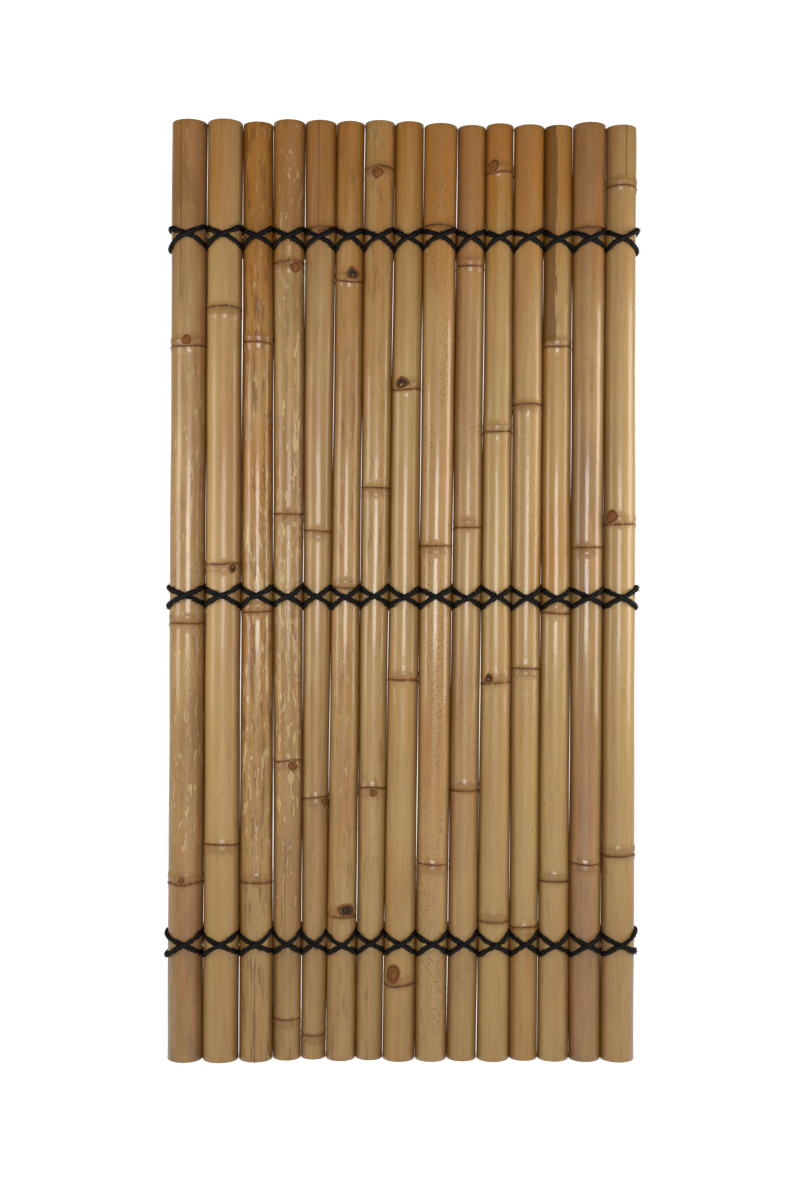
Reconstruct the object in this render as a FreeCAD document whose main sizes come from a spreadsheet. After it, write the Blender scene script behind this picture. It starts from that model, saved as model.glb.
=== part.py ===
import FreeCAD, Part
import math
import os
import Sketcher

# Bamboo fence panel: a row of upright bamboo culms, lashed with black cord to three slim bamboo
# rails that run behind them. Millimetres, +Z up. The front of the panel looks towards -Y, and the
# origin is on the ground under the middle of the panel.

doc = FreeCAD.newDocument("BambooFencePanel")
sheet = doc.addObject("Spreadsheet::Sheet", "Sizes")

RIGHT = FreeCAD.Vector(1, 0, 0)
BACK = FreeCAD.Vector(0, 1, 0)
UP = FreeCAD.Vector(0, 0, 1)

# Sizes that many pieces share.
SHARED = {
    "panel_height": 1800.0,  # length of the longest culm
    "culm_gap": 4.0,  # clear space between two culms
    "culm_wall": 7.0,
    "rail_wall": 5.0,
    "node_bulge": 1.0,  # how far the rim of a node stands out from its pole
    "node_below": 14.0,  # length of the swelling under the rim
    "node_groove": 1.5,  # heights over the rim: of the groove left by the leaf sheath,
    "node_ridge": 13.0,  # of the ridge over it,
    "node_above": 22.0,  # and of the end of the swelling
    "diaphragm": 6.0,  # wall that closes the hollow at a node
    "seat_clearance": 0.3,  # between pieces that are tied together
    "top_row": 225.0,  # from the head of the panel down to the top rail
    "middle_row": 888.0,  # from the ground up to the middle rail
    "bottom_row": 224.0,  # and to the bottom rail
    "cord_width": 7.0,
    "cord_thickness": 5.0,
    "nip_ease": 1.8,  # how much thinner than the gap the cord is squeezed between two culms
    "end_tuck": 16.0,  # how far the end turns reach in behind a rail
    "knot_width": 14.0,
    "knot_depth": 9.0,
    "knot_height": 16.0,
}

# Culms: how much each is shorter than the panel, its diameter at the foot and at the head, and the
# lengths of its internodes counted from the foot. The stretch over the last node is what is left.
CULMS = {
    "culm_01": (4, 63.5, 64.0, (340, 495, 530)),
    "culm_02": (3, 65.5, 64.0, (415, 535, 490)),
    "culm_03": (5, 61.5, 54.5, (340, 518, 515)),
    "culm_04": (1, 49.5, 57.5, (80, 493, 474, 481)),
    "culm_05": (1, 43.5, 56.0, (48, 454, 513, 578)),
    "culm_06": (1, 53.5, 50.5, (276, 628, 590)),
    "culm_07": (0, 48.0, 54.5, (521, 576, 613)),
    "culm_08": (1, 58.0, 51.5, (147, 581, 559)),
    "culm_09": (7, 57.5, 61.0, (377, 609, 613)),
    "culm_10": (7, 54.0, 51.0, (517, 504, 501)),
    "culm_11": (3, 58.5, 50.0, (266, 458, 481, 499)),
    "culm_12": (6, 51.0, 55.0, (257, 496, 507)),
    "culm_13": (5, 56.0, 50.5, (343, 515, 511)),
    "culm_14": (2, 57.5, 60.0, (379, 607, 611)),
    "culm_15": (5, 61.0, 55.0, (393, 637, 647)),
}

# Rails: length, diameters at the left and at the right, and the internodes counted from the left.
RAILS = {
    "rail_top": (885, 32.0, 31.0, (251, 347)),
    "rail_middle": (886, 31.5, 32.0, (193, 345)),
    "rail_bottom": (887, 32.0, 31.5, (300, 352)),
}


def fill_sheet():
    """Write every driving size into the sheet, one row and one alias each."""
    sizes = dict(SHARED)
    sizes.update({f"{label}_short": short for label, (short, _, _, _) in CULMS.items()})
    sizes.update({f"{label}_length": length for label, (length, _, _, _) in RAILS.items()})
    for label, (_, foot, head, internodes) in {**CULMS, **RAILS}.items():
        sizes[f"{label}_foot"] = foot
        sizes[f"{label}_head"] = head
        for number, internode in enumerate(internodes, 1):
            sizes[f"{label}_internode_{number}"] = internode
    for line, (alias, number) in enumerate(sizes.items(), 1):
        sheet.set(f"A{line}", alias)
        sheet.set(f"B{line}", str(number))
        sheet.setAlias(f"B{line}", alias)
    doc.recompute()


def size(alias):
    return float(sheet.get(alias))


def add_closed_outline(sketch, vertices):
    """Join the vertices by lines and bind each one to the sheet.

    A vertex is its radius and height, each with the rule that sets it. A vertex without a rule
    lies on the sketch's own axis.
    """
    points = [FreeCAD.Vector(radius, height, 0) for radius, _, height, _ in vertices]
    following = points[1:] + points[:1]
    sketch.addGeometry([Part.LineSegment(a, b) for a, b in zip(points, following)], False)
    for i, (radius, radius_rule, height, height_rule) in enumerate(vertices):
        sketch.addConstraint(Sketcher.Constraint("Coincident", i, 2, (i + 1) % len(points), 1))
        for kind, value, rule, axis in (
            ("DistanceX", radius, radius_rule, -2),
            ("DistanceY", height, height_rule, -1),
        ):
            if rule is None:
                sketch.addConstraint(Sketcher.Constraint("PointOnObject", i, 1, axis))
                continue
            index = sketch.addConstraint(Sketcher.Constraint(kind, -1, 1, i, 1, value))
            sketch.renameConstraint(index, f"{kind}_{i}")
            sketch.setExpression(f"Constraints.{kind}_{i}", rule)


class Pole:
    """A bamboo pole turned from half its section, standing on its foot along +Z.

    The outside follows a straight taper from foot to head and swells at each node. The hollow
    shows at both ends, as deep as the first diaphragm.
    """

    # Outline of a node: the size that gives the height of each vertex, up or down from the rim,
    # and the share of the bulge there.
    NODE = (
        (-1, "node_below", 0),
        (0, "node_groove", 1),
        (1, "node_groove", 0.3),
        (1, "node_ridge", 0.8),
        (1, "node_above", 0),
    )

    def __init__(self, label, length, length_rule, wall, internode_count):
        self.label = label
        self.wall = wall
        self.length = length
        self.length_rule = length_rule
        self.foot_radius = size(f"{label}_foot") / 2
        self.head_radius = size(f"{label}_head") / 2
        self.nodes = self.find_nodes(internode_count)
        self.body = doc.addObject("PartDesign::Body", label)
        self.body.Label = label
        sketch = self.body.newObject("Sketcher::SketchObject", f"{label}_profile")
        plane = next(f for f in self.body.Origin.OriginFeatures if f.Role == "XZ_Plane")
        sketch.AttachmentSupport = [(plane, "")]
        sketch.MapMode = "FlatFace"
        self.draw(sketch)
        turned = self.body.newObject("PartDesign::Revolution", f"{label}_turned")
        turned.Profile = sketch
        turned.ReferenceAxis = (sketch, ["V_Axis"])
        turned.Angle = 360

    def find_nodes(self, count):
        """Rule and height of each node that the saw cut at the head leaves on the pole."""
        nodes = []
        rule = ""
        height = 0.0
        for number in range(1, count + 1):
            alias = f"{self.label}_internode_{number}"
            rule = f"{rule} + Sizes.{alias}" if rule else f"Sizes.{alias}"
            height += size(alias)
            if height + size("node_above") < self.length:
                nodes.append((rule, height))
        return nodes

    def taper(self, height):
        """Radius of the pole without its nodes."""
        return self.foot_radius + (self.head_radius - self.foot_radius) * height / self.length

    def draw(self, sketch):
        """Half section from the hollow foot up the outside and down into the hollow head."""
        foot = f"Sizes.{self.label}_foot / 2"
        head = f"Sizes.{self.label}_head / 2"
        wall = f"Sizes.{self.wall}"
        first_rule, first = self.nodes[0]
        last_rule, last = self.nodes[-1]
        half_diaphragm = size("diaphragm") / 2
        foot_bore = (self.foot_radius - size(self.wall), f"{foot} - {wall}")
        head_bore = (self.head_radius - size(self.wall), f"{head} - {wall}")
        foot_end = (first - half_diaphragm, f"{first_rule} - Sizes.diaphragm / 2")
        head_end = (last + half_diaphragm, f"{last_rule} + Sizes.diaphragm / 2")
        on_axis = (0.0, None)

        outside = [(self.foot_radius, foot, *on_axis)]
        for node_rule, node in self.nodes:
            for way, alias, share in self.NODE:
                height = node + way * size(alias)
                height_rule = f"{node_rule} + {way} * Sizes.{alias}"
                radius = self.taper(height) + share * size("node_bulge")
                taper_rule = f"({head} - {foot}) * ({height_rule}) / ({self.length_rule})"
                radius_rule = f"{foot} + {taper_rule} + {share} * Sizes.node_bulge"
                outside.append((radius, radius_rule, height, height_rule))
        head_level = (self.length, self.length_rule)
        outside.append((self.head_radius, head, *head_level))
        self.outline = [(radius, height) for radius, _, height, _ in outside]
        foot_hollow = [(*on_axis, *foot_end), (*foot_bore, *foot_end), (*foot_bore, *on_axis)]
        head_hollow = [(*head_bore, *head_level), (*head_bore, *head_end), (*on_axis, *head_end)]
        add_closed_outline(sketch, foot_hollow + outside + head_hollow)

    def radius(self, height):
        """Radius at a height along the pole, its nodes included."""
        for (low_radius, low), (high_radius, high) in zip(self.outline, self.outline[1:]):
            if low <= height <= high:
                return low_radius + (high_radius - low_radius) * (height - low) / (high - low)
        return self.taper(height)

    def widest(self, low, high):
        """Largest radius between two heights along the pole."""
        between = [radius for radius, height in self.outline if low < height < high]
        return max(self.radius(low), self.radius(high), *between)

    def place(self, foot, head):
        """Stand the pole on one point and aim its axis at another."""
        self.foot = foot
        self.aim = (head - foot).normalize()
        self.body.Placement = FreeCAD.Placement(foot, FreeCAD.Rotation(UP, self.aim))

    def axis(self, height):
        """Point of an upright pole's axis at a height above the ground."""
        return self.foot + self.aim * ((height - self.foot.z) / self.aim.z)


def row_of_centres(radii):
    """Middles of culms that stand in a row with one gap between neighbours, centred on zero."""
    width = 2 * sum(radii) + size("culm_gap") * (len(radii) - 1)
    edge = -width / 2
    centres = []
    for radius in radii:
        centres.append(edge + radius)
        edge += 2 * radius + size("culm_gap")
    return centres


def stand_culms(culms):
    """Pack the feet and the heads with the same gap, all with their backs in the plane y = 0."""
    feet = row_of_centres([culm.foot_radius for culm in culms])
    heads = row_of_centres([culm.head_radius for culm in culms])
    for culm, foot_x, head_x in zip(culms, feet, heads):
        foot = FreeCAD.Vector(foot_x, -culm.foot_radius, 0)
        head = FreeCAD.Vector(head_x, -culm.head_radius, culm.length)
        lean = math.hypot(head.x - foot.x, head.y - foot.y) / culm.length
        rim_drop = FreeCAD.Vector(0, 0, culm.foot_radius * lean)
        culm.place(foot + rim_drop, head + rim_drop)


def lay_rail(rail, culms, height):
    """Lay a rail across the backs of the culms, in the middle of the row."""
    left = culms[0].axis(height).x - culms[0].radius(height)
    right = culms[-1].axis(height).x + culms[-1].radius(height)
    middle = (left + right) / 2
    swell = max(culm.radius(height) - culm.taper(height) for culm in culms)
    seat = swell + size("seat_clearance")
    foot = FreeCAD.Vector(middle - rail.length / 2, seat + rail.foot_radius, height)
    head = FreeCAD.Vector(middle + rail.length / 2, seat + rail.head_radius, height)
    rail.place(foot, head)


class Lashing:
    """One cord of a row, as a closed ring of four-sided sections.

    It runs to the left across the fronts of all culms and back to the right, and its ends are
    tied at the right. On each culm it climbs from the gap behind it to the gap ahead, and in each
    gap it goes back over the rail, down behind it and forward under it. So the two runs cross on
    the front of every culm, where the second run lies over the first.

    A section is a middle, half the cord's thickness and half its width. The sections stand where
    the flats of an octagon round the culm meet, because each flat just clears the culm.
    """

    HALF_TURN = math.radians(22.5)  # half of the turn from one flat to the next
    MITRE = 1 / math.cos(HALF_TURN)

    def __init__(self, culms, rail, height):
        self.culms = culms
        self.height = height
        self.clear = size("seat_clearance")
        self.width = size("cord_width")
        self.thick = size("cord_thickness")
        self.rail_radius = rail.widest(0, rail.length)
        self.rail_axis = max(rail.foot.y, (rail.foot + rail.aim * rail.length).y)
        inner = self.rail_radius + self.clear + self.width / 2
        self.reach = {-1: inner, 1: inner + self.width + self.clear}
        inner_turn = self.rail_radius + self.clear + self.thick / 2
        self.turn = {-1: inner_turn, 1: inner_turn + self.thick + self.clear}
        band = self.reach[1] + self.width
        self.radii = [culm.widest(height - band, height + band) for culm in culms]
        self.sections = []
        self.flip = 1
        count = len(culms)
        self.run(-1, range(count - 1, -1, -1))
        self.end_turn(-1, 0)
        self.run(1, range(count))
        self.end_turn(1, count - 1)

    def add(self, point, half_thick, half_wide):
        corners = [
            point + half_thick + half_wide,
            point - half_thick + half_wide,
            point - half_thick - half_wide,
            point + half_thick - half_wide,
        ]
        self.sections.append(corners)

    def nip(self, index, side, rise):
        """Middle and thickness of the cord beside a culm, squeezed where a neighbour stands."""
        height = self.height + rise
        edge = self.culms[index].axis(height).x + side * self.radii[index]
        neighbour = index + side
        if not 0 <= neighbour < len(self.culms):
            return edge + side * (self.clear + self.thick / 2), self.thick
        far_edge = self.culms[neighbour].axis(height).x - side * self.radii[neighbour]
        return (edge + far_edge) / 2, abs(far_edge - edge) - size("nip_ease")

    def run(self, way, order):
        """Cross the fronts of the culms, to the left (way -1) or to the right (way 1)."""
        for index in order:
            if index != order[0]:
                self.rail_turn(way, self.nip(index, -way, 0)[0])
                self.flip = -self.flip
            self.cross(way, index)

    def cross(self, way, index):
        """Climb over one culm. The second run is lifted over the first where they cross."""
        flat = self.radii[index] + self.clear + self.thick / 2
        lift = self.thick + self.clear if way > 0 else 0
        half_wide = UP * (-way * self.flip * self.width / 2)
        for side, climb in ((-way, -1), (-way, -1 / 3), (way, 1 / 3), (way, 1)):
            rise = climb * self.reach[way]
            axis = self.culms[index].axis(self.height + rise)
            if abs(climb) == 1:
                angle = side * 3 * self.HALF_TURN
                x, thick = self.nip(index, side, rise)
                y = axis.y - math.sqrt(2) * flat + abs(x - axis.x)
            else:
                angle = side * self.HALF_TURN
                x = axis.x + math.sin(angle) * self.MITRE * (flat + lift)
                y = axis.y - math.cos(angle) * self.MITRE * (flat + lift)
                thick = self.thick
            outward = RIGHT * math.sin(angle) - BACK * math.cos(angle)
            point = FreeCAD.Vector(x, y, self.height + rise)
            self.add(point, outward * (self.flip * self.MITRE * thick / 2), half_wide)

    def rail_turn(self, way, x):
        """Go round the rail in a gap: a corner over its back and a corner under it."""
        for side in (1, -1):
            self.add_corner(x, self.turn[way], side, self.flip * way)

    def add_corner(self, x, turn, side, sign):
        """A mitred corner behind the rail, above (side 1) or below it (side -1)."""
        point = FreeCAD.Vector(x, self.rail_axis + turn, self.height + side * turn)
        half_wide = RIGHT * (sign * self.width / 2)
        self.add(point, half_wide, (BACK + UP * side) * (-sign * self.thick / 2))

    def end_turn(self, way, index):
        """Go round an outer culm's side and the rail, and tie the knot at the right."""
        beside = self.nip(index, way, 0)[0]
        tucked = beside - way * size("end_tuck")
        past = self.culms[index].axis(self.height).y + self.radii[index] / 2
        turn = self.turn[-1]
        sign = self.flip * way
        side_thick = RIGHT * (sign * self.thick / 2)
        upper = FreeCAD.Vector(beside, past, self.height + self.reach[way])
        self.add(upper, side_thick, UP * (-sign * self.width / 2))
        self.add_corner(tucked, turn, 1, sign)
        if way > 0:
            self.tie_knot(tucked, sign)
        self.add_corner(tucked, turn, -1, sign)
        lower = FreeCAD.Vector(beside, past, self.height - self.reach[-way])
        self.add(lower, side_thick, UP * (sign * self.width / 2))

    def tie_knot(self, x, sign):
        """The swelling where the two ends of the cord are tied, behind the rail."""
        behind = self.rail_axis + self.rail_radius + self.clear
        half = size("knot_height") / 2
        for rise, wide, deep in (
            (half, self.width, self.thick),
            (half / 2, size("knot_width"), size("knot_depth")),
            (-half / 2, size("knot_width"), size("knot_depth")),
            (-half, self.width, self.thick),
        ):
            point = FreeCAD.Vector(x, behind + deep / 2, self.height + rise)
            self.add(point, RIGHT * (sign * wide / 2), BACK * (-sign * deep / 2))

    def solid(self):
        """Join each section to the next by four sides, each folded into two flat triangles."""
        faces = []
        for here, there in zip(self.sections, self.sections[1:] + self.sections[:1]):
            for i in range(4):
                j = (i + 1) % 4
                for triangle in ((here[i], here[j], there[j]), (here[i], there[j], there[i])):
                    faces.append(Part.Face(Part.makePolygon([*triangle, triangle[0]])))
        shell = Part.makeShell(faces)
        shell.sewShape()
        return Part.makeSolid(shell)


def centre_on_origin(pieces):
    """Move the whole panel so that the middle of its box stands over the origin."""
    box = FreeCAD.BoundBox()
    for piece in pieces:
        box.add(piece.Shape.optimalBoundingBox(False))
    shift = FreeCAD.Vector(-box.Center.x, -box.Center.y, -box.ZMin)
    for piece in pieces:
        placement = piece.Placement
        piece.Placement = FreeCAD.Placement(placement.Base + shift, placement.Rotation)
    doc.recompute()


def check(pieces):
    """Stop before anything is written if an object failed or a shape is not one sound solid."""
    for thing in doc.Objects:
        if "Invalid" in thing.State or "Error" in thing.State:
            raise RuntimeError(f"{thing.Label} failed: {thing.State}")
    for piece in pieces:
        shape = piece.Shape
        if shape.isNull() or not shape.isValid() or len(shape.Solids) != 1 or shape.Volume <= 0:
            raise RuntimeError(f"{piece.Label} is not a sound solid")


fill_sheet()
culms = []
for label, (_, _, _, internodes) in CULMS.items():
    length = size("panel_height") - size(f"{label}_short")
    length_rule = f"Sizes.panel_height - Sizes.{label}_short"
    culms.append(Pole(label, length, length_rule, "culm_wall", len(internodes)))
stand_culms(culms)
pieces = [culm.body for culm in culms]

ROWS = {
    "top": size("panel_height") - size("top_row"),
    "middle": size("middle_row"),
    "bottom": size("bottom_row"),
}
for row, height in ROWS.items():
    label = f"rail_{row}"
    internodes = RAILS[label][-1]
    rail = Pole(label, size(f"{label}_length"), f"Sizes.{label}_length", "rail_wall", len(internodes))
    lay_rail(rail, culms, height)
    lashing = doc.addObject("Part::Feature", f"lashing_{row}")
    lashing.Label = f"lashing_{row}"
    lashing.Shape = Lashing(culms, rail, height).solid()
    pieces += [rail.body, lashing]
doc.recompute()
centre_on_origin(pieces)
check(pieces)

os.makedirs("parts", exist_ok=True)
for piece in pieces:
    piece.Shape.exportStep(f"parts/{piece.Label}.step")
    print(piece.Label, "volume", round(piece.Shape.Volume / 1000, 1), "cm3")
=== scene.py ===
# %% [markdown]
# # A bamboo fence panel
#
# Fifteen varnished bamboo culms stand in a row. Three slim rails run behind them, and at each rail
# one black cord crosses itself on every culm and ties the row together. The solids already have
# every size and place, so this lesson reads them back from the frame and only gives them their skin:
# nodes, buds and saw cuts on the bamboo, strands and fuzz on the cord, and the finishes of both.

# %% Load the frame
import math
from collections import namedtuple
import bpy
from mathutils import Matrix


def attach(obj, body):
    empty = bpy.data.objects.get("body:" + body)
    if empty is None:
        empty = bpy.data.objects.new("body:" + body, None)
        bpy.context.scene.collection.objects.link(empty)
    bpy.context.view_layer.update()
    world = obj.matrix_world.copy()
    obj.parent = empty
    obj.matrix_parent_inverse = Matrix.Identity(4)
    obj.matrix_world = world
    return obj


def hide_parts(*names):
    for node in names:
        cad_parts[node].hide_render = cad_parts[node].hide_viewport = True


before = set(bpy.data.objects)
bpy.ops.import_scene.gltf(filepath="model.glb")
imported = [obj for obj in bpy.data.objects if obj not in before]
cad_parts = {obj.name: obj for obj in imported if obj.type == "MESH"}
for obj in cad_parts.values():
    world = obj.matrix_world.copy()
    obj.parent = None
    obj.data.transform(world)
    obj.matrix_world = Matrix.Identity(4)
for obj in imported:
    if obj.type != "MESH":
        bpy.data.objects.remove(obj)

from types import SimpleNamespace

import bpy
import numpy as np
from mathutils import Matrix, Vector

MM = 0.001
RIGHT, BACK, UP = np.eye(3)
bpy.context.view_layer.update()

# %% [markdown]
# ## Reading a pole back
#
# A bamboo pole is a straight tapering tube with a ring at every node. We could type its sizes again,
# but the solid has them: the two end rings give the axis, and the widest point at each level gives
# the outline. The levels that stand out most from the taper are the rims of the nodes. Working from
# the frame means that the skin can't drift away from the solid under it.

# %% The poles of the frame
CULM_COUNT = 15
ROWS = ("top", "middle", "bottom")
POINT_DECIMALS = 6  # points that agree to a thousandth of a millimetre are one
LEVEL_DECIMALS = 4  # and points that agree to a tenth of one lie at the same level
END_SLICE = 1 * MM  # points this near to an end belong to its saw cut
OUTER_EDGE = 0.93  # share of a saw cut's reach that only its outer edge has
RIM_BULGE = 0.9  # share of the greatest bulge that only the rims have


def mesh_points(mesh):
    """Places of a mesh's points as an array (n, 3)."""
    points = np.empty(3 * len(mesh.vertices))
    mesh.vertices.foreach_get("co", points)
    return points.reshape(-1, 3)


def unit(vectors):
    """Vectors of length 1 that point the same way."""
    return vectors / np.linalg.norm(vectors, axis=-1, keepdims=True)


class Pole:
    """Axis, taper, bore and node heights of one bamboo pole, measured on its solid."""

    def __init__(self, name):
        self.name = name
        points = np.unique(mesh_points(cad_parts[name].data).round(POINT_DECIMALS), axis=0)
        lengthwise = points[:, np.ptp(points, axis=0).argmax()]
        self.foot, foot_reach = self.end_ring(points[lengthwise < lengthwise.min() + END_SLICE])
        self.head, _ = self.end_ring(points[lengthwise > lengthwise.max() - END_SLICE])
        self.wall = np.ptp(foot_reach)
        self.length = np.linalg.norm(self.head - self.foot)
        self.aim = (self.head - self.foot) / self.length
        self.front = unit(self.aim * self.aim[1] - BACK)
        self.right = np.cross(self.aim, self.front)

        along = (points - self.foot) @ self.aim
        away = np.linalg.norm(points - self.foot - along[:, None] * self.aim, axis=1)
        levels, place = np.unique(along.round(LEVEL_DECIMALS), return_inverse=True)
        outline = np.zeros(len(levels))
        np.maximum.at(outline, place, away)
        self.foot_radius, self.head_radius = outline[0], outline[-1]
        bulge = outline - self.taper(levels)
        self.rims = levels[bulge > RIM_BULGE * bulge.max()]

    @staticmethod
    def end_ring(points):
        """Middle of a sawn end, and how far each of its corners lies from that middle."""
        middle = (points.min(axis=0) + points.max(axis=0)) / 2
        reach = np.linalg.norm(points - middle, axis=1)
        middle = points[reach > OUTER_EDGE * reach.max()].mean(axis=0)
        return middle, np.linalg.norm(points - middle, axis=1)

    def taper(self, along):
        """Radius of the pole without its nodes."""
        return self.foot_radius + (self.head_radius - self.foot_radius) * along / self.length

    def point(self, along, angle, radius):
        """A place on the pole. The angle is 0 at the front and grows towards the right."""
        along, angle, radius = (part[..., None] for part in np.broadcast_arrays(along, angle, radius))
        sideways = np.cos(angle) * self.front + np.sin(angle) * self.right
        return self.foot + along * self.aim + radius * sideways

    def axis(self, height):
        """Point of an upright pole's axis at a height above the ground."""
        return self.foot + self.aim * ((height - self.foot[2]) / self.aim[2])


culms = [Pole(f"culm_{place:02d}") for place in range(1, CULM_COUNT + 1)]
rails = {row: Pole(f"rail_{row}") for row in ROWS}
for pole in (culms[0], culms[-1], rails["middle"]):
    print(pole.name, "length", round(pole.length / MM), "nodes at", (pole.rims / MM).round().tolist())

# %% [markdown]
# ## The camera
#
# The picture was taken from straight in front, at half the panel's height and from under three
# metres away, a touch to the left and not quite level. A camera in Blender looks along its own -Z,
# so we let a helper turn it towards a point. The lamps use the same helper.

# %% Camera
IMAGE_HEIGHT = 1200  # pixels of the photograph from top to bottom
PIXEL = 1.91 * MM  # size of a pixel at the fronts of the culms
PANEL_FOOT = 1062  # pixel row of the culms' feet
CAMERA_AWAY = 2.70
CAMERA_LEFT = 33 * MM
CAMERA_SHIFT = 6 * MM  # the panel stands a little right of the picture's middle
CAMERA_ROLL = math.radians(0.25)


def add_object(name, data):
    """An object for a camera, a lamp or a mesh, linked to the scene."""
    thing = bpy.data.objects.new(name, data)
    bpy.context.collection.objects.link(thing)
    return thing


def looking(place, aim):
    """Placement of something that stands at a place and looks at a point."""
    turn = (Vector(aim) - Vector(place)).to_track_quat("-Z", "Y")
    return Matrix.Translation(place) @ turn.to_matrix().to_4x4()


middle_culm = culms[CULM_COUNT // 2]
front_plane = middle_culm.foot[1] - middle_culm.foot_radius
eye_height = (PANEL_FOOT - IMAGE_HEIGHT / 2) * PIXEL
target = Vector((-CAMERA_SHIFT, front_plane, eye_height))
eye = target + Vector((-CAMERA_LEFT, -CAMERA_AWAY, 0))

camera = add_object("camera", bpy.data.cameras.new("camera"))
camera.data.sensor_fit = "VERTICAL"
camera.data.angle = 2 * math.atan(IMAGE_HEIGHT / 2 * PIXEL / CAMERA_AWAY)
camera.matrix_world = looking(eye, target) @ Matrix.Rotation(CAMERA_ROLL, 4, "Z")
bpy.context.scene.camera = camera
print("camera", CAMERA_AWAY, "m away at a height of", round(eye_height, 3), "m")

# %% [markdown]
# ## Nodes written as sums
#
# A finish in Blender is a tree of nodes, and a tree of a hundred nodes is hard to follow as a list of
# links. Nearly all of ours add, multiply or blend. So a small class makes each node, links what goes
# into it and hands back what comes out, and a finish can be written as a few sums.


# %% A recipe of nodes
class Recipe:
    """The nodes of a material or a world. A value is a number, a colour or the output of a node."""

    def __init__(self, owner):
        owner.use_nodes = True
        self.tree = owner.node_tree

    def feed(self, node, inputs):
        """Links the outputs of other nodes to a node's inputs and sets all other values as constants."""
        for key, value in inputs.items():
            if isinstance(value, bpy.types.NodeSocket):
                self.tree.links.new(value, node.inputs[key])
            else:
                node.inputs[key].default_value = value

    def add(self, kind, inputs=None, **settings):
        """A new node with its settings and inputs."""
        node = self.tree.nodes.new("ShaderNode" + kind)
        for key, value in settings.items():
            setattr(node, key, value)
        self.feed(node, inputs or {})
        return node

    def maths(self, operation, first, *others):
        """Works through the values from the first to the last, two at a time."""
        for value in others:
            first = self.add("Math", {0: first, 1: value}, operation=operation).outputs[0]
        return first

    def plus(self, *values):
        """Sum of all values."""
        return self.maths("ADD", *values)

    def times(self, *values):
        """Product of all values."""
        return self.maths("MULTIPLY", *values)

    def most(self, *values):
        """Greatest of all values."""
        return self.maths("MAXIMUM", *values)

    def weighed(self, *pairs):
        """Sum of values that are each multiplied by a weight."""
        return self.plus(*(self.times(value, weight) for value, weight in pairs))

    def ramp(self, value, start, end, low=0.0, high=1.0, shape="SMOOTHSTEP"):
        """From low to high while the value goes from start to end, and level on either side."""
        inputs = {"Value": value, "From Min": start, "From Max": end, "To Min": low, "To Max": high}
        return self.add("MapRange", inputs, interpolation_type=shape).outputs[0]

    def blend(self, share, first, second):
        """Colour between two colours."""
        return self.add("Mix", {0: share, 6: first, 7: second}, data_type="RGBA").outputs[2]

    def place(self):
        """Where a point of the piece lies, in metres."""
        return self.add("TexCoord").outputs["Object"]

    def noise(self, place, scale, detail, rough=0.5):
        """Soft random grain, mostly near a half."""
        inputs = {"Vector": place, "Scale": scale, "Detail": detail, "Roughness": rough}
        return self.add("TexNoise", inputs).outputs["Fac"]

    def spots(self, place, scale):
        """Distance to the nearest of many scattered points."""
        return self.add("TexVoronoi", {"Vector": place, "Scale": scale}).outputs["Distance"]

    def bump(self, height, strength, depth):
        """Normal of a face that is finely uneven."""
        return self.add("Bump", {"Height": height, "Strength": strength, "Distance": depth}).outputs[0]

    def surface(self, inputs):
        """Sets inputs of the material's surface shader."""
        self.feed(self.tree.nodes["Principled BSDF"], inputs)


def srgb(red, green, blue):
    """A colour as a painter reads it, 0 to 255, turned into light by the sRGB curve."""
    share = np.array([red, green, blue]) / 255
    light = np.where(share <= 0.04045, share / 12.92, ((share + 0.055) / 1.055) ** 2.4)
    return (*light.tolist(), 1)


print("half grey as light:", round(srgb(128, 128, 128)[0], 3))

# %% [markdown]
# ## Light
#
# One lamp near the camera draws the narrow bright line down the middle of each varnished culm, and a
# soft lamp at either side gives the pale bands near their edges. A fourth lamp behind the panel lights
# the rails and knots. The world gives a weak light from all sides, but the
# camera sees it as full white, so the background stays clean where the backdrop ends.

# %% Lamps and world
# place, point looked at, width and height, power in watts and spread in degrees
LAMPS = {
    "front_lamp": ((0.05, -2.95, 1.06), (0, 0, 1.05), (1.2, 0.75), 37, 165),
    "left_lamp": ((-1.25, -0.55, 1.05), (-0.6, 0, 0.95), (0.4, 0.9), 4.4, 140),
    "right_lamp": ((1.25, -0.28, 1.10), (0.5, 0, 1.0), (0.45, 1.05), 6.2, 140),
    "back_lamp": ((0.9, 1.7, 1.7), (0, 0, 0.9), (1.0, 1.0), 14, 180),
}
WORLD_COLOUR = (1, 0.985, 0.96, 1)
WORLD_LIGHT = 0.2  # strength of the world as a lamp
WORLD_SEEN = 1.05  # and as the camera sees it

for name, (place, aim, (width, height), power, spread) in LAMPS.items():
    light = bpy.data.lights.new(name, "AREA")
    light.shape = "RECTANGLE"
    light.size = width
    light.size_y = height
    light.energy = power
    light.spread = math.radians(spread)
    add_object(name, light).matrix_world = looking(place, aim)

scene = bpy.context.scene
scene.view_settings.view_transform = "Standard"
scene.world = bpy.data.worlds.new("studio")
world = Recipe(scene.world)
seen = world.add("LightPath").outputs["Is Camera Ray"]
strength = world.ramp(seen, 0.0, 1.0, WORLD_LIGHT, WORLD_SEEN, "LINEAR")
world.feed(world.tree.nodes["Background"], {"Color": WORLD_COLOUR, "Strength": strength})

# %% [markdown]
# ## Bodies from rings
#
# Every piece of this panel is made of rings of points: a pole, a bud, a cord, even a fibre. One helper
# joins rings with quads and closes both ends to a tip. Another gathers such bodies into one mesh. Blender
# takes whole arrays, which is far quicker than adding one point after another.


# %% Rings, faces and meshes
def circle(count):
    """Angles of so many points, evenly spaced round a circle."""
    return np.arange(count) / count * 2 * math.pi


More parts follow.
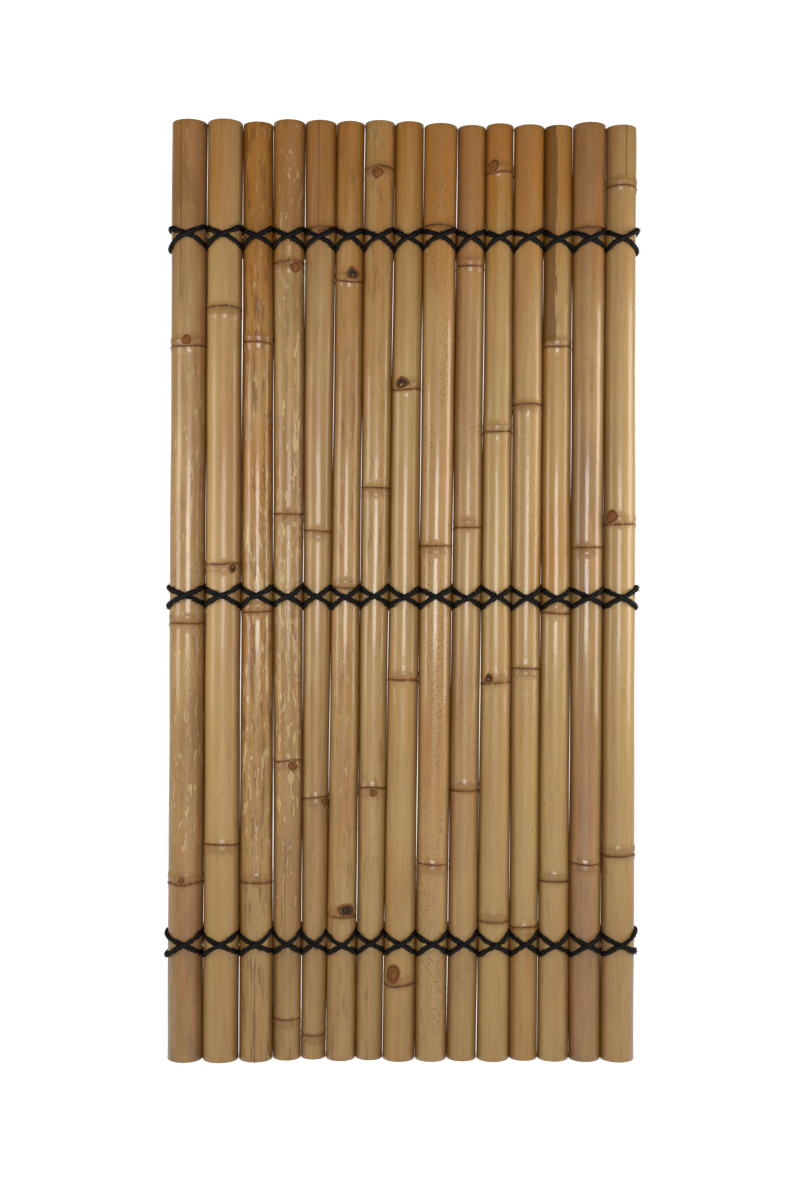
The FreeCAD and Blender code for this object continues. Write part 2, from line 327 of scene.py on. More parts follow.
def body_faces(rings, count, outward=True, closed=False):
    """Faces of a body made of rings with so many points each.

    Quads join each ring to the next, and in a closed body the last ring to the first. Otherwise a fan of
    triangles joins either end to a tip. The two tips come after the points of the rings.
    """
    here = np.arange(count)
    there = (here + 1) % count
    ring = count * np.arange(rings if closed else rings - 1)[:, None]
    above = (ring + count) % (rings * count)
    faces = [np.stack([ring + here, ring + there, above + there, above + here], -1).reshape(-1, 4)]
    if not closed:
        tip = rings * count
        last = tip - count
        faces.append(np.stack([there, here, np.full(count, tip)], -1))
        faces.append(np.stack([last + here, last + there, np.full(count, tip + 1)], -1))
    return faces if outward else [part[:, ::-1] for part in faces]


class Bodies:
    """Bodies that are gathered into one smooth mesh."""

    def __init__(self):
        self.points = []
        self.faces = []
        self.layers = []
        self.count = 0

    def add(self, points, faces, layers):
        """One more body: points (n, 3), arrays of faces (m, 3) or (m, 4), attributes by name (n, 4)."""
        self.faces += [self.count + part for part in faces]
        self.points.append(points)
        self.layers.append(layers)
        self.count += len(points)

    def piece(self, name, *materials):
        """The mesh object of all bodies."""
        mesh = bpy.data.meshes.new(name)
        corners = np.concatenate([part.ravel() for part in self.faces])
        sizes = np.concatenate([np.full(len(part), part.shape[1]) for part in self.faces])
        starts = np.cumsum(sizes) - sizes
        mesh.vertices.add(self.count)
        mesh.vertices.foreach_set("co", np.concatenate(self.points).astype(np.float32).ravel())
        mesh.loops.add(len(corners))
        mesh.loops.foreach_set("vertex_index", corners.astype(np.int32))
        mesh.polygons.add(len(sizes))
        mesh.polygons.foreach_set("loop_start", starts.astype(np.int32))
        mesh.update(calc_edges=True)
        mesh.shade_smooth()
        for material in materials:
            mesh.materials.append(material)
        for layer in self.layers[0]:
            values = np.concatenate([layers[layer] for layers in self.layers])
            attribute = mesh.attributes.new(layer, "FLOAT_COLOR", "POINT")
            attribute.data.foreach_set("color", values.astype(np.float32).ravel())
        return add_object(name, mesh)


print("a tube of 3 rings with 8 points has", sum(map(len, body_faces(3, 8))), "faces")

# %% [markdown]
# ## Floor and backdrop
#
# The floor is one sheet of white paper: level under the panel, then bent up in a quarter circle behind
# it, so no line shows where the ground ends. It adds a little light of its own, but only for the eye
# and for reflections, so it looks white and still keeps the panel's shadow.

# %% Paper sweep
SWEEP_WIDTH = 9.0
SWEEP_TOP = 4.5
FLOOR_FRONT = -4.0
BEND_START = 2.2
BEND_RADIUS = 1.2
BEND_STEPS = 25
PAPER_TINTS = (srgb(184, 183, 182), srgb(190, 189, 188))
PAPER_GRAIN = (60.0, 3.0)  # scale and detail
GLOW_PLACES = (0.6, 1.8)  # metres behind the panel
GLOW_LEVELS = (0.87, 1.0)  # the paper's own light there


def white_paper(name):
    """Matt white paper with a glow that only the camera, reflections and clear things see."""
    material = bpy.data.materials.new(name)
    mix = Recipe(material)
    mix.tree.nodes.clear()
    path = mix.add("LightPath").outputs
    seen = mix.most(path["Is Camera Ray"], path["Is Glossy Ray"], path["Is Transmission Ray"])
    place = mix.place()
    behind = mix.add("SeparateXYZ", {0: place}).outputs["Y"]
    glow = mix.times(seen, mix.ramp(behind, *GLOW_PLACES, *GLOW_LEVELS, "LINEAR"))
    tint = mix.blend(mix.noise(place, *PAPER_GRAIN), *PAPER_TINTS)
    matt = mix.add("BsdfDiffuse", {"Color": tint})
    light = mix.add("Emission", {"Color": (1, 1, 1, 1), "Strength": glow})
    both = mix.add("AddShader", {0: matt.outputs[0], 1: light.outputs[0]})
    mix.add("OutputMaterial", {"Surface": both.outputs[0]})
    return material


bend = np.linspace(0, math.pi / 2, BEND_STEPS)
bend_y = BEND_START + BEND_RADIUS * np.sin(bend)
bend_z = BEND_RADIUS * (1 - np.cos(bend))
sweep_y = np.concatenate([[FLOOR_FRONT], bend_y, bend_y[-1:]])
sweep_z = np.concatenate([[0], bend_z, [SWEEP_TOP]])
sweep_x = np.array([-SWEEP_WIDTH / 2, SWEEP_WIDTH / 2])
sweep_points = np.stack(np.broadcast_arrays(sweep_x, sweep_y[:, None], sweep_z[:, None]), -1)
strip = np.array([0, 1, 3, 2])  # corners of one face between two pairs of points
sweep = Bodies()
sweep.add(sweep_points.reshape(-1, 3), [2 * np.arange(len(sweep_y) - 1)[:, None] + strip], {})
floor = sweep.piece("floor", white_paper("white_paper"))
print("floor and backdrop in one sheet of", len(floor.data.polygons), "faces")

# %% [markdown]
# ## Varnished bamboo
#
# Bamboo skin is straw yellow that goes to honey and to a dull rose where the culm has aged, in long
# stripes that follow the fibres. Finer fibres run inside those stripes, old wax sits on some culms in
# ragged flakes, and others have dark specks. The specks are scattered points and the rest is stretched
# noise, all on Object coordinates: the grain is long because the pattern is squeezed along the pole.
# What belongs to one place on one culm comes in as attributes, painted on the mesh with numpy: how
# rosy, golden, flaky or speckled it is, where a node, a bud or a crack lies.

# %% Colours and grains
SKIN_COLOURS = {
    "straw": srgb(183, 149, 91),
    "honey": srgb(174, 114, 32),
    "rose": srgb(161, 118, 80),
    "brown": srgb(98, 64, 30),
    "stain": srgb(112, 72, 28),
    "wax": srgb(220, 190, 134),
    "speck": srgb(76, 46, 24),
    "scar": srgb(82, 48, 18),
    # the brown of a node's band, also used for the painted shade on the sides of the culms
    "band": srgb(128, 80, 32),
    "bud": srgb(92, 54, 20),
    "scale": srgb(158, 98, 42),
    "hole": srgb(40, 24, 12),
}
DRY_COLOURS = {"straw": srgb(158, 122, 74), "honey": srgb(134, 96, 50), "rose": srgb(128, 96, 70)}
# stretch along the pole, scale, detail and start of each noise
GRAINS = {
    "broad": (26, 70, 2, 3.1),
    "narrow": (40, 260, 2, 7.7),
    "fibre": (70, 900, 3, 1.9),
    "patch": (5, 150, 5, 5.3),
    "smear": (9, 130, 5, 4.1),
    "cloud": (3, 9, 2, 9.2),
    "shade": (4, 22, 3, 2.6),
    "crumb": (1, 420, 4, 6.4),
}
GRAIN_ROUGH = 0.6
MIDDLE = 0.5  # the value that a noise lies round
# attributes of a pole, each with the values in its four channels
LAYERS = {
    "tone": ("rosy", "golden", "flaky", "speckled"),
    # the band carries a node's brown band and the painted shade on the sides of the culms
    "mark": ("scar", "band", "bud_rim", "bud_scale"),
    "line": ("stripe", "crack", "smudged", "glossy"),
    "age": ("aged", "aged", "aged", "aged"),
}


def long_grain(mix, along, stretch, scale, detail, start):
    """Noise squeezed along the pole's own axis, so that its grains are long."""
    squeeze = [1 / stretch if axis == along else 1.0 for axis in "xyz"]
    inputs = {"Vector": mix.place(), "Location": (start, start, start), "Scale": squeeze}
    return mix.noise(mix.add("Mapping", inputs).outputs[0], scale, detail, GRAIN_ROUGH)


def painted_values(mix):
    """What is painted on the mesh, by name."""
    values = {}
    for layer, names in LAYERS.items():
        attribute = mix.add("Attribute", attribute_name=layer)
        colour = mix.add("SeparateColor", {0: attribute.outputs["Color"]})
        values.update(zip(names, [*colour.outputs[:3], attribute.outputs["Alpha"]]))
    return SimpleNamespace(**values)


print("grains:", list(GRAINS), "and attributes:", list(LAYERS))

# %% [markdown]
# The colour is built up as a painter would do it: straw as the ground, then one thin glaze over
# another. A glaze is a colour and its share at each place. The share comes from a noise, cut off
# between two values, and from what is painted on the mesh. A wide cut gives soft clouds, a narrow one
# gives flakes with sharp edges, and a noise that is added to a painted mark makes its edge ragged.

# %% Where each pattern shows
# for each pattern, the value at which it begins to show and the one at which it shows in full
FADE = SimpleNamespace(
    honey=(-0.1, 1.0),
    rose=(0.6, 1.3),
    flank=(0.42, 0.56),
    smudge=(0.58, 0.72),
    wax=(0.0, 0.6),
    flake=(0.635, 0.660),
    flake_edge=(0.605, 0.635),
    age=(0.40, 0.70),
    dark_fibre=(0.52, 0.30),
    light_fibre=(0.56, 0.74),
    dot=(0.36, 0.18),
    dotted=(0.40, 0.55),
    nick=(0.13, 0.07),
    nicked=(0.45, 0.55),
    band=(0.25, 0.52),
    scar=(0.2, 0.5),
    scale=(0.40, 0.62),
    hole=(0.25, 0.85),
    hole_edge=(0.0, 0.15),
    crack=(0.05, 0.02),
    coat=(0.85, 0.2),
)
# share of its colour where a pattern shows in full
SHARE = SimpleNamespace(
    flank=0.8,
    flake=0.8,
    flake_edge=0.45,
    age_clouds=0.8,
    age_ground=0.3,
    dark_fibre=0.17,
    light_fibre=0.14,
    nick=0.55,
    band=0.9,
    crack=0.7,
)
print("patterns:", ", ".join(vars(FADE)))

# %% Stripes and old wax
STRIPE_CONTRAST = 1.4
FLANK_RAGGED = 1.4
SMUDGE_GAIN = 0.12  # what a smudged culm adds to the noise of its smudges
FLAKE_GAIN = 0.10  # what a flaky culm adds to the noise of its flakes


def stripes(mix, paint, grain, mark):
    """Honey and rose in long stripes, the stain of a dark flank and smudges."""
    honey = mix.times(mix.plus(grain.broad, grain.cloud, -2 * MIDDLE), STRIPE_CONTRAST)
    rose = mix.ramp(mix.plus(grain.narrow, grain.cloud), *FADE.rose)
    flank = mix.plus(mark.stripe, mix.times(mix.plus(grain.smear, -MIDDLE), FLANK_RAGGED))
    smudge = mix.plus(grain.smear, mix.times(mark.smudged, SMUDGE_GAIN))
    return [
        (paint.honey, mix.ramp(mix.plus(honey, mark.golden), *FADE.honey)),
        (paint.rose, mix.times(mark.rosy, rose)),
        (paint.stain, mix.times(mix.ramp(flank, *FADE.flank), SHARE.flank)),
        (paint.stain, mix.times(mix.ramp(smudge, *FADE.smudge), mark.smudged)),
    ]


def wax_left(mix, grain, mark, fade):
    """Where old wax is left on a flaky culm, cut off between the two values of a fade."""
    film = mix.plus(grain.patch, mix.times(mark.flaky, FLAKE_GAIN))
    return mix.times(mix.ramp(film, *fade), mix.ramp(mark.flaky, *FADE.wax))


def old_wax(mix, paint, grain, mark):
    """Pale flakes with a brown edge round each."""
    edge = wax_left(mix, grain, mark, FADE.flake_edge)
    flake = wax_left(mix, grain, mark, FADE.flake)
    return [(paint.brown, mix.times(edge, SHARE.flake_edge)), (paint.wax, mix.times(flake, SHARE.flake))]


GLAZES = [stripes, old_wax]
print("first glazes:", [glaze.__name__ for glaze in GLAZES])

# %% Fibres, specks and marks
DOT_SCALE = 230.0
NICK_SCALE = 75.0
NICK_SQUEEZE = (1.0, 1.0, 0.4)  # nicks are longer along the culm
HOLE_RAGGED = 2.2


def fibres(mix, paint, grain, mark):
    """Brown clouds of age, and fibres that are darker or lighter than their ground."""
    clouds = mix.times(mix.ramp(grain.shade, *FADE.age), SHARE.age_clouds)
    dark = mix.ramp(grain.fibre, *FADE.dark_fibre)
    light = mix.ramp(grain.fibre, *FADE.light_fibre)
    return [
        (paint.brown, mix.times(mix.plus(clouds, SHARE.age_ground), mark.aged)),
        (paint.brown, mix.times(dark, SHARE.dark_fibre)),
        (paint.wax, mix.times(light, SHARE.light_fibre)),
    ]


def specks(mix, paint, grain, mark):
    """Dark dots in groups on a speckled culm, and a few short nicks on every one."""
    place = mix.place()
    long_place = mix.add("Mapping", {"Vector": place, "Scale": NICK_SQUEEZE}).outputs[0]
    dots = mix.ramp(mix.spots(place, DOT_SCALE), *FADE.dot)
    dotted = mix.ramp(grain.shade, *FADE.dotted)
    nicks = mix.ramp(mix.spots(long_place, NICK_SCALE), *FADE.nick)
    nicked = mix.ramp(grain.crumb, *FADE.nicked)
    return [
        (paint.speck, mix.times(dots, dotted, mark.speckled)),
        (paint.speck, mix.times(nicks, nicked, SHARE.nick)),
    ]


def node_marks(mix, paint, grain, mark):
    """The band and the scar of a node, the scale and the torn heart of a bud, and cracks."""
    scale = mix.blend(mix.ramp(grain.crumb, *FADE.scale), paint.bud, paint.scale)
    torn = mix.plus(mark.bud_rim, mix.times(mix.plus(grain.crumb, -MIDDLE), HOLE_RAGGED))
    return [
        # the band's brown also paints shade on the sides of each culm, where its neighbours stand
        (paint.band, mix.times(mark.band, mix.ramp(grain.patch, *FADE.band), SHARE.band)),
        (paint.scar, mix.times(mark.scar, mix.ramp(grain.patch, *FADE.scar))),
        (scale, mark.bud_scale),
        (paint.hole, mix.times(mix.ramp(torn, *FADE.hole), mix.ramp(mark.bud_rim, *FADE.hole_edge))),
        (paint.brown, mix.times(mix.ramp(mark.crack, *FADE.crack), SHARE.crack)),
    ]


GLAZES += [fibres, specks, node_marks]
print("all glazes in their order:", [glaze.__name__ for glaze in GLAZES])

# %% [markdown]
# A clear coat over the colour gives the varnish its sharp shine. The coat has a normal of its own: varnish
# is brushed on and lies in slow ripples, which break its highlights into streaks, while the wood under
# it has the fine relief of its fibres. Scars and buds are rough and take no varnish, and a node's brown
# band and the painted shade on the culms' sides take little.

# %% Bamboo skins
ROUGH = SimpleNamespace(ground=0.30, patch=0.2, flake=0.15, marked=0.45)
FIBRE_RELIEF = 0.4
FLAKE_RELIEF = 0.4
RELIEF_BUMP = (0.15, 0.6 * MM)  # strength and depth
SMEAR_RIPPLE = 0.8
BROAD_RIPPLE = 1.2
RIPPLE_BUMP = (0.3, 1.2 * MM)
COAT_ROUGH = 0.10
SKIN_SPECULAR = 0.4
CULM_COAT = 0.46
RAIL_COAT = 0.2


def bamboo_skin(name, along, colours, coat):
    """Straw with all glazes laid over it one by one, and a clear coat."""
    material = bpy.data.materials.new(name)
    mix = Recipe(material)
    paint = SimpleNamespace(**colours)
    mark = painted_values(mix)
    grain = SimpleNamespace(**{key: long_grain(mix, along, *values) for key, values in GRAINS.items()})
    colour = paint.straw
    for glaze in GLAZES:
        for glaze_colour, share in glaze(mix, paint, grain, mark):
            colour = mix.blend(share, colour, glaze_colour)

    flake = wax_left(mix, grain, mark, FADE.flake)
    marked = mix.most(mark.scar, mark.bud_scale, mark.bud_rim)
    dull = mix.weighed((grain.patch, ROUGH.patch), (flake, ROUGH.flake), (marked, ROUGH.marked))
    clear = mix.ramp(mix.most(marked, mark.band), *FADE.coat)
    relief = mix.weighed((grain.fibre, FIBRE_RELIEF), (flake, FLAKE_RELIEF))
    ripple = mix.weighed((grain.smear, SMEAR_RIPPLE), (grain.broad, BROAD_RIPPLE))
    mix.surface({
        "Base Color": colour,
        "Roughness": mix.plus(dull, ROUGH.ground),
        "Specular IOR Level": SKIN_SPECULAR,
        "Normal": mix.bump(relief, *RELIEF_BUMP),
        "Coat Weight": mix.times(mark.glossy, clear, coat),
        "Coat Roughness": COAT_ROUGH,
        "Coat Normal": mix.bump(ripple, *RIPPLE_BUMP),
    })
    return material


culm_skin = bamboo_skin("varnished_culm", "z", SKIN_COLOURS, CULM_COAT)
rail_skin = bamboo_skin("dry_rail", "x", {**SKIN_COLOURS, **DRY_COLOURS}, RAIL_COAT)
print(culm_skin.name, "has", len(culm_skin.node_tree.nodes), "nodes")

# %% [markdown]
# A sawn end shows why bamboo is so strong: pale wood full of dark fibre bundles, cut across. Scattered
# points with a dark disc round each look just like them.

# %% Saw cut
BUNDLE_SCALE = 900.0
BUNDLE_FADE = (0.34, 0.16)
BUNDLE_SHARE = 0.6
BUNDLE_BUMP = (0.4, 0.6 * MM)  # strength and depth
DUST_GRAIN = (120.0, 4.0)  # scale and detail
DUST_FADE = (0.3, 0.7)
WOOD_COLOURS = (srgb(190, 160, 108), srgb(214, 188, 138))
BUNDLE_COLOUR = srgb(120, 84, 46)
CUT_ROUGH = 0.75


def sawn_bamboo(name):
    """A saw cut: pale wood with the dark ends of its fibre bundles."""
    material = bpy.data.materials.new(name)
    mix = Recipe(material)
    place = mix.place()
    bundles = mix.spots(place, BUNDLE_SCALE)
    wood = mix.blend(mix.ramp(mix.noise(place, *DUST_GRAIN), *DUST_FADE), *WOOD_COLOURS)
    share = mix.times(mix.ramp(bundles, *BUNDLE_FADE), BUNDLE_SHARE)
    mix.surface({
        "Base Color": mix.blend(share, wood, BUNDLE_COLOUR),
        "Roughness": CUT_ROUGH,
        "Normal": mix.bump(bundles, *BUNDLE_BUMP),
    })
    return material


saw_cut = sawn_bamboo("saw_cut")
print(saw_cut.name, "has", len(saw_cut.node_tree.nodes), "nodes")

# %% [markdown]
# ## The skin of a pole
#
# A culm isn't a lathe-turned tube. It is a little oval, it wavers along its length, and at each node
# it flares to a thin rim, drops into the groove where the leaf sheath sat and swells to a rounded
# ridge. The outside is a function of height and angle. Its rows crowd together at the nodes and are
# pulled up and down with the wavy scar, so the scar's dark line stays thin and clean.

# %% Waves and bells
def wave(angle, seed, sizes):
    """A closed wavy line: sines of one, two, ... waves to the round, each with its own start."""
    starts = np.random.default_rng(seed).uniform(0, 2 * math.pi, len(sizes))
    waves = enumerate(zip(sizes, starts), 1)
    return sum(size * np.sin(count * angle + start) for count, (size, start) in waves)


def wrap(angle):
    """The same angle between half a turn to the left and half a turn to the right."""
    return (angle + math.pi) % (2 * math.pi) - math.pi


def bell(distance, width):
    """1 at no distance, about a third at one width, and almost nothing at two."""
    return np.exp(-((distance / width) ** 2))


print("a bell at no, one and two widths:", bell(np.arange(3), 1).round(2).tolist())

# %% Outside of a pole
COLUMNS = 64
ROW_STEP = 14 * MM
NODE_CLEAR = 4 * MM  # between the rows of a node and the plain rows
END_CLEAR = 2 * MM  # between the last row and the saw cut
NODE_RISE = 1.9 * MM
PRESSED = 0.8  # share of a node's rise that its neighbour takes away
SIDE_POWER = 8  # so high that only the very sides of a culm count
FULLER = 1.9 * MM  # living bamboo fills most of the gap that the plain tubes leave
# heights over a rim: of the rows, and of the points of the profile with their shares of the rise
ROWS_BELOW = [-24, -19, -15, -11, -8, -5.5, -3.5, -2.2, -1.4, -0.8, -0.3]
ROWS_ABOVE = [0.2, 0.7, 1.3, 2.1, 3.2, 4.5, 6, 8, 10.5, 13, 15.5, 18, 21, 25]
NODE_ROWS = MM * np.array(ROWS_BELOW + ROWS_ABOVE)
NODE_PROFILE = (
    MM * np.array([-15, -8, -3, -0.5, 0.2, 1.0, 2.2, 5, 9, 13, 17, 23]),
    np.array([0, 0.22, 0.75, 1.0, 0.95, 0.2, 0.08, 0.3, 0.66, 0.8, 0.5, 0]),
)
OVAL = (0, 0.006, 0.003)  # shares of the radius, for one, two and three waves to the round
WAVER = 0.4 * MM
LONG_WAVER = 110 * MM
LONG_START = 2.4  # radians by which the long waver is shifted from one pole to the next
SHORT_WAVER = 47 * MM
SHORT_SHARE = 0.5  # size of the short waver beside the long one
NODE_SEEDS = 10  # seeds that are kept for the nodes of one pole
SCAR_WAVES = (0.8 * MM, 0.5 * MM, 0.3 * MM)
SCAR_REACH = 14 * MM  # how far from the rim rows are pulled along
BUD_DIP = 3 * MM  # the scar runs lower under a bud


class Skin:
    """Outside of a pole: a radius and the marks that lie on it, over height and angle."""

    def __init__(self, pole, seed, fuller=0, upside_down=False, buds=(), free_side=0):
        self.pole = pole
        self.seed = seed
        self.fuller = fuller
        self.up = -1 if upside_down else 1
        self.buds = buds
        self.free_side = free_side

    def from_rim(self, along):
        """Distance up from the nearest rim, with the culm's own up."""
        nearest = np.abs(along[..., None] - self.pole.rims).argmin(-1)
        return self.up * (along - self.pole.rims[nearest])

    def radius(self, along, angle):
        """Taper, plus the node's profile, plus a slightly oval round that wavers to the sides.

        A node is pressed flat where the next culm stands, so not on the row's free side.
        """
        taper = self.pole.taper(along) + self.fuller
        sideways = np.sin(angle)
        pressed = np.where(np.sign(sideways) == self.free_side, 0, PRESSED * sideways**SIDE_POWER)
        node = np.interp(self.from_rim(along), *NODE_PROFILE) * NODE_RISE * (1 - pressed)
        oval = wave(angle, self.seed, OVAL) * taper
        long_waver = np.sin(along / LONG_WAVER + LONG_START * self.seed)
        short_waver = SHORT_SHARE * np.sin(along / SHORT_WAVER + self.seed)
        return taper + node + oval + WAVER * (long_waver + short_waver) * sideways

    def pull(self, along, angle):
        """How far the scar's wave lifts a row: all of it at the rim, nothing between the nodes."""
        lift = 0
        for seed, rim in enumerate(self.pole.rims, NODE_SEEDS * self.seed):
            lift = lift + bell(along - rim, SCAR_REACH) * wave(angle, seed, SCAR_WAVES)
        for bud in self.buds:
            beside = wrap(angle - bud.angle) * self.pole.foot_radius
            dip = bell(along - self.pole.rims[bud.rim], SCAR_REACH) * bell(beside, bud.width)
            lift = lift - self.up * BUD_DIP * dip
        return lift

    def rows(self):
        """Heights of the rows on the outside, close together at the nodes."""
        rims = self.pole.rims
        plain = np.linspace(0, self.pole.length, round(self.pole.length / ROW_STEP) + 1)
        plain = plain[np.abs(plain[:, None] - rims).min(1) > NODE_ROWS.max() + NODE_CLEAR]
        at_nodes = (rims[:, None] + self.up * NODE_ROWS).ravel()
        heights = np.sort(np.concatenate([plain, at_nodes]))
        return heights[(heights > END_CLEAR) & (heights < self.pole.length - END_CLEAR)]


print("a culm has", len(Skin(culms[0], 1).rows()), "rows on its outside and", COLUMNS, "columns")

# %% [markdown]
# A pole is open at both ends, as far as its first and its last diaphragm. We draw all of it as one closed
# grid: rings go from the dished diaphragm of the foot down the bore, over the saw cut, up the outside,
# and over the other saw cut into the head.

# %% One pole as a closed grid
CUT_EDGE = 0.5 * MM  # rounding of a saw cut's edges
# rows of a saw cut from the bore outwards: how deep they lie, and how far from the bore or the outside
CUT_DEPTHS = CUT_EDGE * np.array([0.6, 0, 0, 0, 0.3, 1])
FROM_BORE = CUT_EDGE * np.array([0.2, 1])
FROM_OUTSIDE = CUT_EDGE * np.array([2, 1, 0.3, 0])
EDGE_ROWS = 3  # rows of that rounding that still belong to the skin
DIAPHRAGM = 3 * MM  # distance from an outer rim to the diaphragm
DISH = 2 * MM
DISH_SHARES = np.array([0.35, 0.7, 0.97])
BORE_SHARES = np.array([0.01, 0.35, 0.7, 0.99])
Grid = namedtuple("Grid", "rings heights angle tips is_skin")


def hollow_end(wall, height, diaphragm, radius, way):
    """Heights and radii of an open end, from its diaphragm out to the rounded edge of the saw cut."""
    bore = radius - wall
    dish_rows = np.stack([diaphragm - way * DISH * (1 - DISH_SHARES**2), bore * DISH_SHARES], -1)
    bore_heights = diaphragm + (height - diaphragm) * BORE_SHARES
    bore_rows = np.stack([bore_heights, np.full_like(bore_heights, bore)], -1)
    cut_radii = np.concatenate([bore + FROM_BORE, radius - FROM_OUTSIDE])
    cut_rows = np.stack([height - way * CUT_DEPTHS, cut_radii], -1)
    return np.concatenate([dish_rows, bore_rows, cut_rows])


def pole_grid(skin):
    """Rings of a whole pole, from the middle of the foot's diaphragm to that of the head's."""
    pole = skin.pole
    angle = circle(COLUMNS) - math.pi
    oval = 1 + wave(angle, skin.seed, OVAL)
    low, high = pole.rims[0] - DIAPHRAGM, pole.rims[-1] + DIAPHRAGM
    foot = hollow_end(pole.wall, 0.0, low, pole.foot_radius + skin.fuller, -1)
    head = hollow_end(pole.wall, pole.length, high, pole.head_radius + skin.fuller, 1)[::-1]
    rows = skin.rows()[:, None]
    rings = [
        pole.point(foot[:, :1], angle, foot[:, 1:] * oval),
        pole.point(rows + skin.pull(rows, angle), angle, skin.radius(rows, angle)),
        pole.point(head[:, :1], angle, head[:, 1:] * oval),
    ]
    heights = np.concatenate([foot[:, :1], rows, head[:, :1]])
    tips = pole.foot + pole.aim * np.array([[low + DISH], [high - DISH]])
    is_skin = np.zeros(len(heights) - 1, bool)
    is_skin[len(foot) - EDGE_ROWS : len(foot) + len(rows) + EDGE_ROWS - 1] = True
    return Grid(np.concatenate(rings), heights, angle, tips, is_skin)


print("rings of the first culm:", len(pole_grid(Skin(culms[0], 1)).rings))

# %% [markdown]
# ## Buds
#
# Just over some rims sits a bud, or the ragged stub of a branch that was cut away. Each is a low mound
# on the skin: a grid in polar form, its height given from the middle to the edge by a short profile,
# with an underside inside the wall so that it is a closed body.

# %% A bud on the skin
# rows: share of the way to the edge, rise in millimetres, dark outline, brown scale
BUD_PROFILES = {
    "bud": (
        [0, 0.3, 0.55, 0.7, 0.8, 0.92, 1],
        [2.4, 2.2, 1.5, 0.4, 0.5, 0.3, -0.5],
        [0, 0.05, 0.15, 0.6, 0.3, 0.1, 0],
        [1, 1, 1, 1, 0.9, 0.5, 0.1],
    ),
    "stub": (
        [0, 0.25, 0.45, 0.6, 0.78, 0.92, 1],
        [0.2, 0.2, 0.5, 1.9, 1.7, 0.5, -0.5],
        [1, 1, 0.95, 0.5, 0.3, 0.1, 0],
        [0, 0.2, 0.5, 1, 1, 0.7, 0.2],
    ),
}
BUD_AROUND = 28
BUD_RINGS = np.linspace(0.08, 1, 13)  # shares of the way from the middle to the edge
BUD_ROOT = 1.5 * MM
BUD_SEAT = 0.42  # share of its height by which a bud's middle lies over the rim
BUD_POINT = 0.25  # share by which its upper end is drawn out
BUD_UNEVEN = (0.05, 0.06, 0.05, 0.04)
BUD_SEEDS = 7  # seeds that are kept for the buds of one culm
BUD_FOLDS = 5
FOLD_DEPTH = 0.18 * MM


def bud_grid(skin, bud):
    """Closed mound: rings from its middle to its edge, lying on the skin, and one ring inside the wall.

    Returns its points, the two tips last, and the marks of a bud for each of them.
    """
    pole = skin.pole
    shares, *columns = BUD_PROFILES[bud.kind]
    rise, rim, scale = (np.interp(BUD_RINGS, shares, column) for column in columns)
    turn = circle(BUD_AROUND)
    uneven = 1 + wave(turn, BUD_SEEDS * skin.seed + bud.rim, BUD_UNEVEN)
    pointed = 1 + BUD_POINT * np.maximum(np.sin(turn) * skin.up, 0) ** 3
    reach = BUD_RINGS[:, None] * uneven
    middle = pole.rims[bud.rim] + skin.up * BUD_SEAT * bud.height
    along = middle + reach * bud.height / 2 * pointed * np.sin(turn)
    angle = bud.angle + reach * bud.width / 2 * np.cos(turn) / pole.taper(middle)
    folds = FOLD_DEPTH * np.sin(BUD_FOLDS * turn + skin.seed) * (1 - reach)
    ground = skin.radius(along, angle)
    mound = pole.point(along, angle, ground + rise[:, None] * MM + folds)
    root = pole.point(along[-1:], angle[-1:], ground[-1:] - BUD_ROOT)
    here, there = np.array([middle]), np.array([bud.angle])
    tips = pole.point(here, there, skin.radius(here, there) + [columns[0][0] * MM, -BUD_ROOT])
    marks = {}
    for name, values, column in (("bud_rim", rim, columns[1]), ("bud_scale", scale, columns[2])):
        marks[name] = np.append(np.repeat([*values, values[-1]], BUD_AROUND), [column[0], 0])
    return np.concatenate([mound.reshape(-1, 3), root[0], tips]), marks


print("kinds of bud:", list(BUD_PROFILES))

# %% [markdown]
# ## The fifteen culms
#
# No two culms are alike, and their differences are what makes the panel look real. So each has a line
# of its own: how rosy it is and on which side, how golden, flaky, speckled and smudged, how glossy its
# varnish is, how brown it is with age, and whether it stands with its root end up, which puts the ridge
# of each node under its rim. The buds, cracks and the one dark flank are listed where they are on the
# real panel.

# %% What each culm looks like
Look = namedtuple("Look", "rosy rosy_side golden flaky speckled smudged glossy aged upside_down")
Bud = namedtuple("Bud", "culm rim angle width height kind")
# the rosy side is in degrees to the right of the front
LOOKS = [
    Look(0.80, 60, 0.05, 0.50, 0.10, 0.30, 0.8, 0.36, False),
    Look(0.50, 60, -0.30, 0.00, 0.05, 0.10, 0.4, 0.06, True),
    Look(0.10, 0, 0.75, 0.65, 0.15, 0.70, 0.9, 0.28, False),
    Look(0.70, 60, 0.20, 0.95, 0.10, 0.40, 0.4, 0.28, True),
    Look(0.70, 0, 0.10, 0.05, 0.10, 0.20, 0.6, 0.24, True),
    Look(0.30, -30, 0.35, 0.35, 0.10, 0.45, 0.8, 0.18, False),
    Look(0.30, -40, -0.15, 0.15, 0.10, 0.45, 0.9, 0.12, True),
    Look(0.15, -60, 0.05, 0.00, 0.10, 0.15, 0.7, 0.16, False),
    Look(0.30, 0, 0.15, 0.00, 0.80, 0.10, 1.0, 0.00, True),
    Look(0.80, -30, 0.20, 0.05, 0.40, 0.15, 0.5, 0.08, False),
    Look(0.15, -30, 0.10, 0.00, 0.10, 0.10, 0.5, 0.10, False),
    Look(0.40, -60, 0.20, 0.00, 0.40, 0.10, 0.6, 0.00, True),
    Look(0.10, 0, 0.12, 0.15, 0.10, 0.25, 0.9, 0.00, False),
    Look(0.90, -30, 0.20, 0.00, 0.25, 0.20, 1.0, 0.30, True),
    Look(0.45, -50, -0.40, 0.10, 0.10, 0.20, 0.6, 0.03, False),
]
